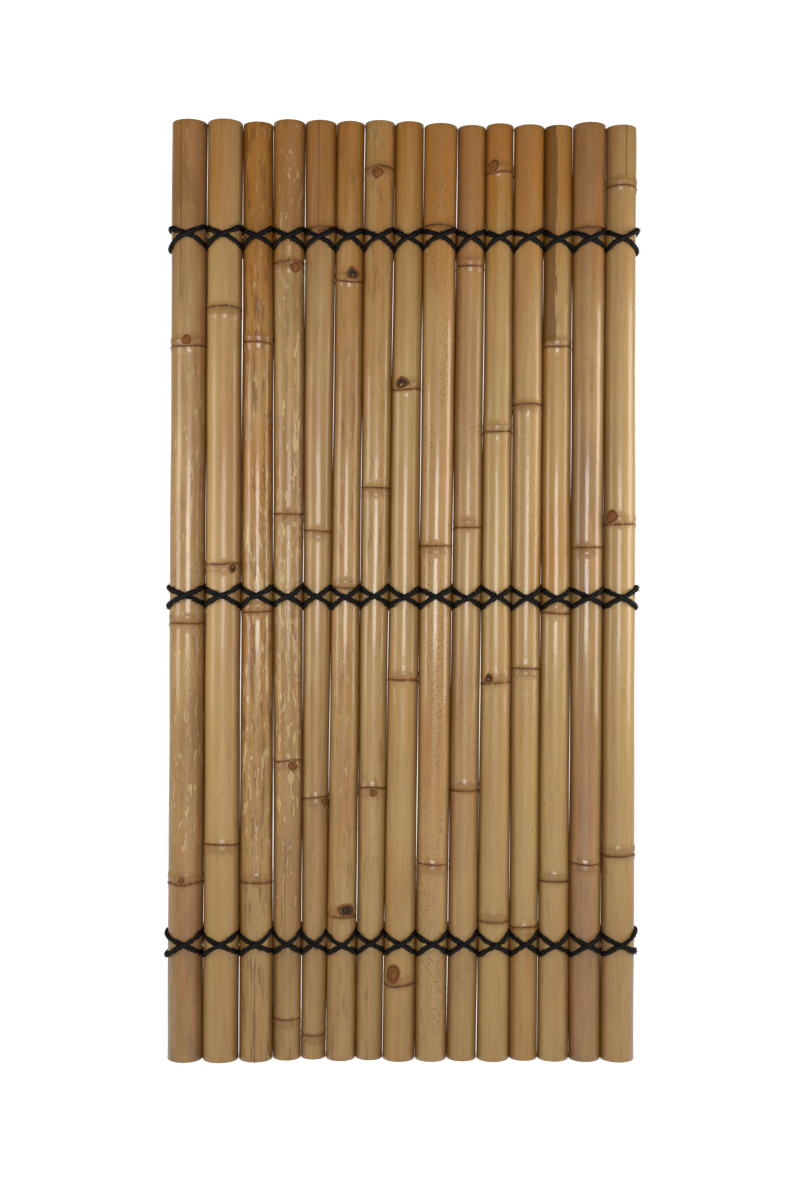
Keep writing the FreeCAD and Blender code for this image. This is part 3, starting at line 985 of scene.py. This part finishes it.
# culm, node from the foot, degrees to the right of the front, width and height in millimetres, kind
BUDS = [
    (1, 3, 0, 20, 22, "bud"),
    (1, 1, -7, 14, 15, "bud"),
    (2, 2, 36, 18, 18, "stub"),
    (3, 3, 78, 20, 20, "stub"),
    (4, 4, 28, 24, 24, "bud"),
    (4, 2, 23, 20, 20, "bud"),
    (5, 4, 15, 22, 15, "bud"),
    (5, 2, 45, 18, 18, "bud"),
    (6, 3, 15, 25, 27, "stub"),
    (6, 1, 21, 36, 27, "stub"),
    (7, 3, -8, 23, 24, "bud"),
    (7, 1, 4, 16, 16, "bud"),
    (8, 3, -19, 30, 23, "stub"),
    (8, 1, -24, 31, 42, "bud"),
    (11, 4, -27, 22, 26, "bud"),
    (11, 2, -29, 20, 19, "stub"),
    (15, 2, -37, 27, 29, "bud"),
]
# culm, degrees to the right of the front, lowest and highest point in metres
CRACKS = [
    (1, -20, 1.45, 1.80),
    (5, -6, 1.58, 1.80),
    (15, 10, 1.70, 1.80),
    (3, 0, 0.0, 0.20),
    (4, -4, 0.20, 0.42),
]
# culm, middle of the flank and half its width in degrees, lowest point in metres
DARK_FLANK = (13, -80, 68, 1.37)
buds = [
    Bud(culm, node - 1, math.radians(angle), width * MM, height * MM, kind)
    for culm, node, angle, width, height, kind in BUDS
]
print(len(LOOKS), "looks,", len(buds), "buds and", len(CRACKS), "cracks")

# %% [markdown]
# The looks are painted on the grid as attributes. Each value is a formula of height and angle: a node's
# scar is a bell over the height, the brown over it fades upwards, the rosy side is a cosine round the
# culm. A culm also changes a little from one node to the next, as the real ones do.

# %% Marks on a culm
PAINTED_FLANK_SHADE = 0.8  # painted shade on the sides of each culm, where two culms meet
SCAR_HEIGHT = 0.5 * MM
SCAR_WIDTH = 1.9 * MM
SCAR_STRENGTH = (0.85, 0.15)  # its mean, and how far it comes and goes round the culm
RIDGE_LINE = 0.3  # strength of the second line, on the ridge
RIDGE_HEIGHT = 14 * MM
RIDGE_WIDTH = 1.8 * MM
BAND_ABOVE = 12 * MM  # how far the band's brown reaches up, and down
BAND_BELOW = 4 * MM
BAND_END = 24 * MM
FLANK_EDGE = 1.6  # slope of the dark flank's edge over the angle
FLANK_START = 15 * MM
CRACK_ENDS = 5  # how quickly a crack closes past its ends


def node_scar(above, angle, number):
    """A thin dark line on the rim that comes and goes, and a fainter one on the ridge."""
    mean, change = SCAR_STRENGTH
    line = bell(above - SCAR_HEIGHT, SCAR_WIDTH) * (mean + change * np.sin(angle * 2 + number))
    return line + RIDGE_LINE * bell(above - RIDGE_HEIGHT, RIDGE_WIDTH)


def brown_band(above, angle):
    """Brown that fades upwards and downwards from the rim, and painted shade on the sides where two culms
    meet.
    """
    band = np.where(above > 0, np.exp(-above / BAND_ABOVE), np.exp(above / BAND_BELOW)) * (above < BAND_END)
    # painted shade: each culm is darker on its very sides, where its neighbours stand
    return np.maximum(band, PAINTED_FLANK_SHADE * np.sin(angle) ** SIDE_POWER)


def dark_flank(number, heights, angle):
    """How deep a point lies inside the dark flank: a half on its edge."""
    culm, middle, half_width, lowest = DARK_FLANK
    inside = math.radians(half_width) - np.abs(wrap(angle - math.radians(middle)))
    start = np.clip((heights - lowest) / FLANK_START, 0, 1)
    return np.clip(inside * FLANK_EDGE + 0.5, 0, 1) * start * (culm == number)


def crack_gap(number, heights, angle):
    """Angle from the nearest crack, which follows a column of the grid, and 1 where there is none."""
    gap = np.ones((len(heights), len(angle)))
    for culm, at, low, high in CRACKS:
        if culm == number:
            column = np.abs(wrap(angle - math.radians(at))).argmin()
            past = np.clip(np.maximum(low - heights, heights - high), 0, 1)
            gap = np.minimum(gap, np.abs(wrap(angle - angle[column])) + CRACK_ENDS * past)
    return gap


print("brown of a band 10 mm over a rim:", brown_band(np.array(10 * MM), 0.0).round(2))

# %% Paint a culm
INTERNODE_CHANGE = 0.12  # how far one length of a culm may differ from its look
SIDE_FOCUS = 1.3  # above 1, the rosy side is narrower
UNRIPE_GOLD = 0.4  # share of its gold that a culm has where it isn't ripe
BROWN_FOOT = 0.12
FOOT_HEIGHT = 450 * MM
# heights in metres, and the gold that the culms have there besides their own
RIPENESS = ([0, 0.5, 1.0, 1.25, 1.45, 1.65, 1.8], [0.03, 0.05, 0.05, 0.12, 0.26, 0.58, 0.72])
# heights in metres, and the share of its flakes that a culm has there
FLAKY_HEIGHTS = ([0, 0.3, 0.5, 1.0, 1.2, 1.45, 1.8], [0.1, 0.4, 1, 1, 0.75, 0.45, 0.45])


def paint_culm(number, look, skin, grid):
    """Values of one culm by name, each over height and angle or the same everywhere."""
    heights, angle = grid.heights, grid.angle
    rims = skin.pole.rims
    change = np.random.default_rng(number).uniform(-INTERNODE_CHANGE, INTERNODE_CHANGE, (len(rims) + 1, 2))
    rosier, riper = change[np.searchsorted(rims, heights[:, 0])].T[..., None]
    side = (0.5 + 0.5 * np.cos(angle - math.radians(look.rosy_side))) ** SIDE_FOCUS
    ripe = np.interp(heights, *RIPENESS)
    above = skin.from_rim(heights)
    return {
        "rosy": np.clip(look.rosy * side + rosier, 0, 1),
        "golden": np.clip(look.golden * (UNRIPE_GOLD + ripe) + riper + ripe, 0, 1),
        "flaky": look.flaky * np.interp(heights, *FLAKY_HEIGHTS),
        "speckled": look.speckled,
        "scar": node_scar(above, angle, number),
        "band": brown_band(above, angle),
        "bud_rim": 0,
        "bud_scale": 0,
        "stripe": dark_flank(number, heights, angle),
        "crack": crack_gap(number, heights, angle),
        "smudged": look.smudged,
        "glossy": look.glossy,
        "aged": look.aged + BROWN_FOOT * np.clip(1 - heights / FOOT_HEIGHT, 0, 1),
    }


def stack_layers(values, shape):
    """Four values to a layer, as LAYERS lists them, for each point of a grid of that shape."""
    layers = {}
    for layer, names in LAYERS.items():
        channels = [np.broadcast_to(values[name], shape) for name in names]
        layers[layer] = np.stack(channels, -1).reshape(-1, len(names))
    return layers


print("values painted on a culm:", sum(len(set(names)) for names in LAYERS.values()))

# %% [markdown]
# Now grid, buds and paint come together. A bud takes the tone of the culm where it sits and brings its
# own marks. The rows between the two rounded edges get the skin, the saw cuts and bores the sawn wood.


# %% Dress the culms
def dress_pole(skin, grid, values, material):
    """Joins the grid of a pole and the mounds of its buds into one piece in place of its solid."""
    shape = grid.rings.shape[:2]
    layers = stack_layers(values, shape)
    layers = {layer: np.concatenate([painted, painted[[0, -1]]]) for layer, painted in layers.items()}
    bodies = Bodies()
    bodies.add(np.concatenate([grid.rings.reshape(-1, 3), grid.tips]), body_faces(*shape), layers)
    for bud in skin.buds:
        points, marks = bud_grid(skin, bud)
        row = np.abs(grid.heights[:, 0] - skin.pole.rims[bud.rim]).argmin()
        near = {name: np.broadcast_to(value, shape)[row, 0] for name, value in values.items()}
        near.update(marks, scar=0, band=0)
        faces = body_faces(len(points) // BUD_AROUND, BUD_AROUND, outward=False)
        bodies.add(points, faces, stack_layers(near, len(points)))
    piece = bodies.piece(skin.pole.name + "_skin", material, saw_cut)
    sawn = np.concatenate([~grid.is_skin, [True, True]])
    finish = np.zeros(len(piece.data.polygons), np.int32)
    finish[: len(sawn) * COLUMNS] = np.repeat(sawn, COLUMNS)
    piece.data.polygons.foreach_set("material_index", finish)
    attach(piece, "root")
    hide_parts(skin.pole.name)
    return piece


for number, (pole, look) in enumerate(zip(culms, LOOKS), 1):
    own_buds = [bud for bud in buds if bud.culm == number]
    free_side = {1: -1, len(culms): 1}.get(number, 0)
    skin = Skin(pole, number, FULLER, look.upside_down, own_buds, free_side)
    grid = pole_grid(skin)
    piece = dress_pole(skin, grid, paint_culm(number, look, skin, grid), culm_skin)
print("culms dressed:", len(culms), "with", len(piece.data.polygons), "faces on the last")

# %% [markdown]
# ## The rails
#
# The rails are thin bamboo of the same kind, left dry and unvarnished because nobody looks at them.
# They use the same grid, with an even brown tone and the marks of their nodes.

# %% Dress the rails
RAIL_SEED = 31
RAIL_SCAR = 0.9 * MM
RAIL_VALUES = {
    "rosy": 0.4,
    "golden": 0.4,
    "flaky": 0.3,
    "speckled": 0.3,
    "band": 0,
    "bud_rim": 0,
    "bud_scale": 0,
    "stripe": 0,
    "crack": 1,
    "smudged": 0.3,
    "glossy": 1,
    "aged": 0.2,
}

for seed, pole in enumerate(rails.values(), RAIL_SEED):
    skin = Skin(pole, seed)
    grid = pole_grid(skin)
    scar = bell(skin.from_rim(grid.heights), RAIL_SCAR)
    piece = dress_pole(skin, grid, {**RAIL_VALUES, "scar": scar}, rail_skin)
print("rails dressed:", len(rails), "with", len(piece.data.polygons), "faces on the last")

# %% [markdown]
# ## The lashings
#
# At each rail one cord runs to the left across all culms and back to the right. On each culm it climbs
# from the gap behind it to the gap ahead, and in each gap it goes back over the rail, down behind it and
# forward under it, so the two runs make a row of crosses. The route is a list of control points: four
# to a culm, where the flats of an octagon round it meet, and two behind the rail. A quadratic spline
# with such control points touches the middle of every flat, so the cord hugs the culm.

# %% Route of a lashing
CLEAR = 0.3 * MM
CORD_WIDTH = 7 * MM
CORD_THICK = 5 * MM
END_TUCK = 16 * MM
RAIL_EASE = 1 * MM  # room for the rail's nodes over and under it, and once more behind it
SETTLE = {"top": 8 * MM, "middle": 8 * MM, "bottom": 5 * MM}  # the crosses have been pulled flat in use
HAND = np.array([2.0, 2.5, 2.5]) * MM  # unevenness of the crossings, and of the turns above and below
ROUTE_SEED = 41
HALF_TURN = math.radians(22.5)  # half of the turn from one flat of the octagon to the next
MITRE = 1 / math.cos(HALF_TURN)


class Route:
    """Control points of one lashing, each with half the cord's thickness and half its width as vectors."""

    def __init__(self, rail, settle, seed):
        self.height = rail.foot[2]
        self.rail_y = max(rail.foot[1], rail.head[1])
        self.stray = np.random.default_rng(seed).uniform(-1, 1, (len(culms) + 1, 3)) * HAND
        self.radii = [culm.taper(self.height) + FULLER for culm in culms]
        rail_radius = max(rail.foot_radius, rail.head_radius) + RAIL_EASE
        inner = rail_radius + CLEAR + CORD_WIDTH / 2
        self.reach = {-1: inner - settle / 2, 1: inner + CORD_WIDTH + CLEAR - settle}
        inner = rail_radius + RAIL_EASE + CLEAR + CORD_THICK / 2
        self.turn = {-1: inner, 1: inner + CORD_THICK + CLEAR}
        self.flip = 1
        self.controls = []
        self.run(-1, range(len(culms) - 1, -1, -1))
        self.end_turn(-1, 0)
        self.run(1, range(len(culms)))
        self.end_turn(1, len(culms) - 1)

    def add(self, point, half_thick, half_wide):
        """One more control point."""
        self.controls.append((np.array(point), half_thick, half_wide))

    def uneven_rise(self, index, side, climb):
        """Work by hand: crossings sit a little high or low, and so do the turns in each gap."""
        if abs(climb) < 1:
            return self.stray[index, 0]
        return self.stray[index + (side > 0), 1 if climb > 0 else 2]

    def nip(self, index, side, rise):
        """Middle of the gap beside a culm, or the cord's place at the open side of an outer one."""
        edge = culms[index].axis(self.height + rise)[0] + side * self.radii[index]
        if not 0 <= index + side < len(culms):
            return edge + side * (CLEAR + CORD_THICK / 2)
        far_edge = culms[index + side].axis(self.height + rise)[0] - side * self.radii[index + side]
        return (edge + far_edge) / 2

    def run(self, way, order):
        """Cross the fronts of the culms, to the left (way -1) or to the right (way 1)."""
        for index in order:
            if index != order[0]:
                x = self.nip(index, -way, 0)
                for side in (1, -1):
                    self.corner(x, self.turn[way], side, self.flip * way)
                self.flip = -self.flip
            self.cross(way, index)

    def cross(self, way, index):
        """Climb over one culm. The second run is lifted over the first where they cross."""
        flat = self.radii[index] + CLEAR + CORD_THICK / 2
        lifted = flat + (CORD_THICK + CLEAR if way > 0 else 0)
        half_wide = UP * (-way * self.flip * CORD_WIDTH / 2)
        for side, climb in ((-way, -1), (-way, -1 / 3), (way, 1 / 3), (way, 1)):
            rise = climb * self.reach[way] + self.uneven_rise(index, side, climb)
            axis = culms[index].axis(self.height + rise)
            if abs(climb) == 1:
                angle = side * 3 * HALF_TURN
                x = self.nip(index, side, rise)
                y = axis[1] - math.sqrt(2) * flat + abs(x - axis[0])
            else:
                angle = side * HALF_TURN
                x = axis[0] + math.sin(angle) * MITRE * lifted
                y = axis[1] - math.cos(angle) * MITRE * lifted
            outward = RIGHT * math.sin(angle) - BACK * math.cos(angle)
            self.add((x, y, self.height + rise), outward * (self.flip * CORD_THICK / 2), half_wide)

    def corner(self, x, turn, side, sign):
        """A corner behind the rail, above (side 1) or below it (side -1)."""
        point = (x, self.rail_y + turn, self.height + side * turn)
        half_wide = (BACK + UP * side) * (-sign * CORD_THICK / 2 / math.sqrt(2))
        self.add(point, RIGHT * (sign * CORD_WIDTH / 2), half_wide)

    def end_turn(self, way, index):
        """Go round an outer culm's side and the rail."""
        beside = self.nip(index, way, 0)
        tucked = beside - way * END_TUCK
        past = culms[index].axis(self.height)[1] + self.radii[index] / 2
        sign = self.flip * way
        half_thick = RIGHT * (sign * CORD_THICK / 2)
        half_wide = UP * (sign * CORD_WIDTH / 2)
        self.add((beside, past, self.height + self.reach[way]), half_thick, -half_wide)
        self.corner(tucked, self.turn[-1], 1, sign)
        self.corner(tucked, self.turn[-1], -1, sign)
        self.add((beside, past, self.height - self.reach[-way]), half_thick, half_wide)
        self.knot = np.array([tucked, self.rail_y + self.turn[-1] + CORD_THICK / 2, self.height])


routes = {row: Route(rails[row], SETTLE[row], seed) for seed, row in enumerate(ROWS, ROUTE_SEED)}
print("control points to a lashing:", len(routes["top"].controls))

# %% [markdown]
# Blender's own curves work out the spline. We give one the control points and read the line back as an
# array, then do the same with the half thicknesses and the half widths, so the cord's flat side turns
# as smoothly as its line does.

# %% Spline from the control points
SPLINE_STEPS = 18


def along_spline(values):
    """Values between the control points, on a closed quadratic spline."""
    curve = bpy.data.curves.new("route", "CURVE")
    curve.dimensions = "3D"
    curve.resolution_u = SPLINE_STEPS
    spline = curve.splines.new("NURBS")
    spline.points.add(len(values) - 1)
    spline.points.foreach_set("co", np.concatenate([values, np.ones((len(values), 1))], axis=1).ravel())
    spline.use_cyclic_u = True
    spline.order_u = 3
    holder = bpy.data.objects.new("route", curve)
    mesh = bpy.data.meshes.new_from_object(holder)
    points = mesh_points(mesh)
    bpy.data.objects.remove(holder)
    bpy.data.curves.remove(curve)
    bpy.data.meshes.remove(mesh)
    return points


splines = {}
for row, route in routes.items():
    splines[row] = [along_spline(part) for part in np.array(route.controls).swapaxes(0, 1)]
print("points along a lashing:", len(splines["top"][0]))

# %% [markdown]
# The cord itself is a loose three-strand twist of black fibre. Its profile is a circle with three
# grooves, and the grooves turn as the profile is carried along the spline, which gives the strands.
# Where it is pulled against a culm it gives way, as soft cord does.

# %% Twisted cord
CORD_AROUND = 18
STRANDS = 3
LAY_LENGTH = 19 * MM
LAY_UNIT = 40 * MM  # length of cord to one unit of its pattern
GROOVE = 0.48
FULLNESS = 1.6  # a soft cord looks thicker than its firm core
LOOSE = 1.03
SLACK = 0.10  # how much it swells and thins in each of two slow waves
SLOW_SLACK = 11 * MM
QUICK_SLACK = 4.3 * MM
ROUGHNESS = 0.07  # single fibres stand up by such a share of the radius


def twisted_rings(points, half_thick, half_wide, closed):
    """Rings of a twisted cord: a grooved circle, stretched to the thickness and width at each place.

    Returns the rings, and for each point where it lies on its strand, for the pattern of the fibres.
    """
    steps = np.linalg.norm(np.diff(points, axis=0), axis=1)
    length = np.concatenate([[0], np.cumsum(steps)])[:, None]
    turns = 2 * math.pi * length / LAY_LENGTH
    if closed:
        turns *= round(turns[-1, 0] / (2 * math.pi)) * 2 * math.pi / turns[-1, 0]
    angle = circle(CORD_AROUND)
    strand = angle - turns
    loose = LOOSE + SLACK * np.sin(length / SLOW_SLACK) + SLACK * np.sin(length / QUICK_SLACK + 1)
    radius = FULLNESS * loose * (1 - GROOVE * (1 - np.abs(np.cos(STRANDS * strand / 2))))
    radius = radius * (1 + ROUGHNESS * np.random.default_rng(len(points)).normal(size=radius.shape))
    across = np.cos(angle)[:, None] * half_thick[:, None] + np.sin(angle)[:, None] * half_wide[:, None]
    lay = np.broadcast_arrays(np.cos(strand), np.sin(strand), length / LAY_UNIT, 1.0)
    return points[:, None] + radius[..., None] * across, np.stack(lay, -1)


def give_way(points):
    """A soft cord flattens against a culm: what would lie inside one moves straight out to its skin."""
    for culm in culms:
        out = points - culm.axis(points[:, 2:])
        away = np.linalg.norm(out[:, :2], axis=1)
        skin = culm.taper(points[:, 2]) + FULLER
        points = points + out * (np.maximum(skin / away, 1) - 1)[:, None] * [1, 1, 0]
    return points


def add_cord(bodies, line, half_thick, half_wide, closed):
    """Adds a length of cord to the bodies, joined into a loop or closed at both ends. Returns its rings."""
    rings, lay = twisted_rings(line, half_thick, half_wide, closed)
    outward = np.cross(rings[0, 1] - rings[0, 0], line[1] - line[0]) @ (rings[0, 0] - line[0]) > 0
    points, lay = give_way(rings.reshape(-1, 3)), lay.reshape(-1, 4)
    if not closed:
        points, lay = np.concatenate([points, line[[0, -1]]]), np.concatenate([lay, lay[[0, -1]]])
    bodies.add(points, body_faces(len(rings), CORD_AROUND, outward, closed), {"lay": lay})
    return rings


print("strands:", STRANDS, "lay length in mm:", LAY_LENGTH / MM)

# %% [markdown]
# Short stray fibres stand off the cord everywhere. Each is a bent three-sided spike that leans along the
# cord and away from it, so the cord's outline is fuzzy from every side.

# %% Stray fibres
FIBRES = 4200
FIBRE_LENGTHS = (3.0, 8.0)  # shortest and longest in millimetres
FIBRE_THICK = 0.45 * MM
FIBRE_ROOT = 0.6 * MM  # depth of its root in the cord
FIBRE_THINNING = 0.8  # thickness at the bend
FIBRE_LAY = [1.0, 0.0, 0.5, 1.0]  # one place on a strand, so all fibres are equally black
# away from the cord, along it, and at random, for the lower and the upper half
FIBRE_LEANS = ((0.75, 0.8, 0.2), (0.5, 0.6, 0.5))
SPIKE_SIDES = np.array([[0, 1, 4, 3], [1, 2, 5, 4], [2, 0, 3, 5]])
SPIKE_ENDS = np.array([[3, 4, 6], [4, 5, 6], [5, 3, 6], [0, 2, 1]])
SPIKE_POINTS = 7


def stray_fibres(rings, middles, count, seed):
    """Bent three-sided spikes: three points in the cord, three at the bend and a tip."""
    random = np.random.default_rng(seed)
    ring = random.integers(1, len(rings) - 1, count)
    column = random.integers(0, rings.shape[1], count)
    root = rings[ring, column]
    out = unit(root - middles[ring])
    lean = unit(middles[ring + 1] - middles[ring - 1]) * random.choice([-1, 1], (count, 1))
    length = random.uniform(*FIBRE_LENGTHS, (count, 1)) * MM
    ends = [root]
    for away, along, astray in FIBRE_LEANS:
        aim = away * out + along * lean + astray * random.normal(size=(count, 3))
        ends.append(ends[-1] + length / 2 * aim)
    root, bend, tip = (end[:, None] for end in ends)
    side = unit(np.cross(out, lean))
    turn = circle(3)[:, None]
    thick = FIBRE_THICK * (np.cos(turn) * side[:, None] + np.sin(turn) * np.cross(side, lean)[:, None])
    root = root - FIBRE_ROOT * out[:, None] + thick
    points = np.concatenate([root, bend + FIBRE_THINNING * thick, tip], axis=1).reshape(-1, 3)
    base = SPIKE_POINTS * np.arange(count)[:, None, None]
    return points, [(base + SPIKE_SIDES).reshape(-1, 4), (base + SPIKE_ENDS).reshape(-1, 3)]


print("stray fibres to a lashing:", FIBRES)

# %% [markdown]
# The two ends of each cord are tied behind the rail at the right. A trefoil curve, wound as tight as the
# cord allows, stands for the knot, and two short tails hang from it.

# %% Knot and tails
KNOT_SIZE = np.array([14, 9, 16]) * MM  # width, depth and height
KNOT_STEPS = 120
KNOT_CORD = 2.3 * MM  # radius
KNOT_INSET = 2 * MM  # from the knot's outside to the middle of its cord
KNOT_BACK = 1 * MM
TAIL_STEPS = 24
TAIL_CORD = 2.4 * MM
TAIL_START = np.array([5, 1.5, -5]) * MM  # from the knot's middle: to its side, back and up
TAIL_RUN = np.array([5, -2.5, -30]) * MM  # from a tail's start to its end


def knot_line(middle):
    """A trefoil: twice round one way while it goes three times in and out, flattened to the knot's size."""
    turn = circle(KNOT_STEPS)
    out = 2 + np.cos(3 * turn)
    shape = np.stack([out * np.cos(2 * turn), np.sin(3 * turn), out * np.sin(2 * turn)], -1)
    return middle + BACK * KNOT_BACK + shape / 3 * (KNOT_SIZE / 2 - KNOT_INSET)


def tail_line(middle, way):
    """A tail that leaves the knot sideways and hangs down along the back of the rail."""
    drop = np.linspace(0, 1, TAIL_STEPS)
    share = np.stack([np.sin(drop * math.pi / 2), drop, drop], -1)
    return middle + (TAIL_START + TAIL_RUN * share) * [way, 1, 1]


def round_cord(points, radius, closed):
    """Half thickness and half width of a round cord, square to its line."""
    if closed:
        ahead = unit(np.roll(points, -1, axis=0) - np.roll(points, 1, axis=0))
    else:
        ahead = unit(np.gradient(points, axis=0))
    thick = unit(np.cross(ahead, BACK))
    return thick * radius, np.cross(ahead, thick) * radius


print("knot in mm:", (KNOT_SIZE / MM).round().tolist())

# %% [markdown]
# The cord is black, but not a flat black. Its fibres follow the lay of the strands, so the noise that
# draws them runs on the strand coordinates of the rings, and it is greyer where the cord is worn.

# %% Black fibre
CORD_COLOURS = (srgb(6, 5, 5), srgb(24, 21, 19))
CORD_GRAIN = (9.0, 4.0, 0.7)  # scale, detail and roughness
WORN_FADE = (0.48, 0.75)
CORD_ROUGH = (0.5, 0.3)  # least roughness, and what the fibres add
CORD_BUMP = (0.6, 0.8 * MM)  # strength and depth
CORD_SPECULAR = 0.18


def black_fibre(name):
    """Black twine: fibres follow the lay of the strands, some greyer where they are worn."""
    material = bpy.data.materials.new(name)
    mix = Recipe(material)
    lay = mix.add("Attribute", attribute_name="lay").outputs["Vector"]
    fibre = mix.noise(lay, *CORD_GRAIN)
    least, more = CORD_ROUGH
    mix.surface({
        "Base Color": mix.blend(mix.ramp(fibre, *WORN_FADE), *CORD_COLOURS),
        "Roughness": mix.plus(mix.times(fibre, more), least),
        "Specular IOR Level": CORD_SPECULAR,
        "Normal": mix.bump(fibre, *CORD_BUMP),
    })
    return material


cord_material = black_fibre("black_fibre")
print(cord_material.name, "has", len(cord_material.node_tree.nodes), "nodes")

# %% [markdown]
# Cord, knot, tails and fibres of one row become one piece, in place of the plain solid on the same route.

# %% Tie the rows
FIBRE_SEED = 3


def tie_row(row, seed):
    """One lashing: the cord on its spline, its knot and tails, and its stray fibres, as one piece."""
    line, half_thick, half_wide = splines[row]
    knot = routes[row].knot
    bodies = Bodies()
    rings = add_cord(bodies, line, half_thick, half_wide, True)
    loop = knot_line(knot)
    add_cord(bodies, loop, *round_cord(loop, KNOT_CORD, True), True)
    for way in (-1, 1):
        tail = tail_line(knot, way)
        add_cord(bodies, tail, *round_cord(tail, TAIL_CORD, False), False)
    fuzz, faces = stray_fibres(rings, line, FIBRES, seed)
    bodies.add(fuzz, faces, {"lay": np.tile(FIBRE_LAY, (len(fuzz), 1))})
    piece = bodies.piece(f"lashing_{row}_cord", cord_material)
    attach(piece, "root")
    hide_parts(f"lashing_{row}")
    length = np.linalg.norm(np.diff(line, axis=0), axis=1).sum()
    print(f"lashing_{row}: {length:.2f} m of cord, {len(piece.data.polygons)} faces")


for seed, row in enumerate(ROWS, FIBRE_SEED):
    tie_row(row, seed)

# %% [markdown]
# ## Sizes
#
# The dressed panel should stay close to the box of its solids. Only the cords and their stray
# fibres stand past it, by less than a centimetre.

# %% Finish
bpy.context.view_layer.update()
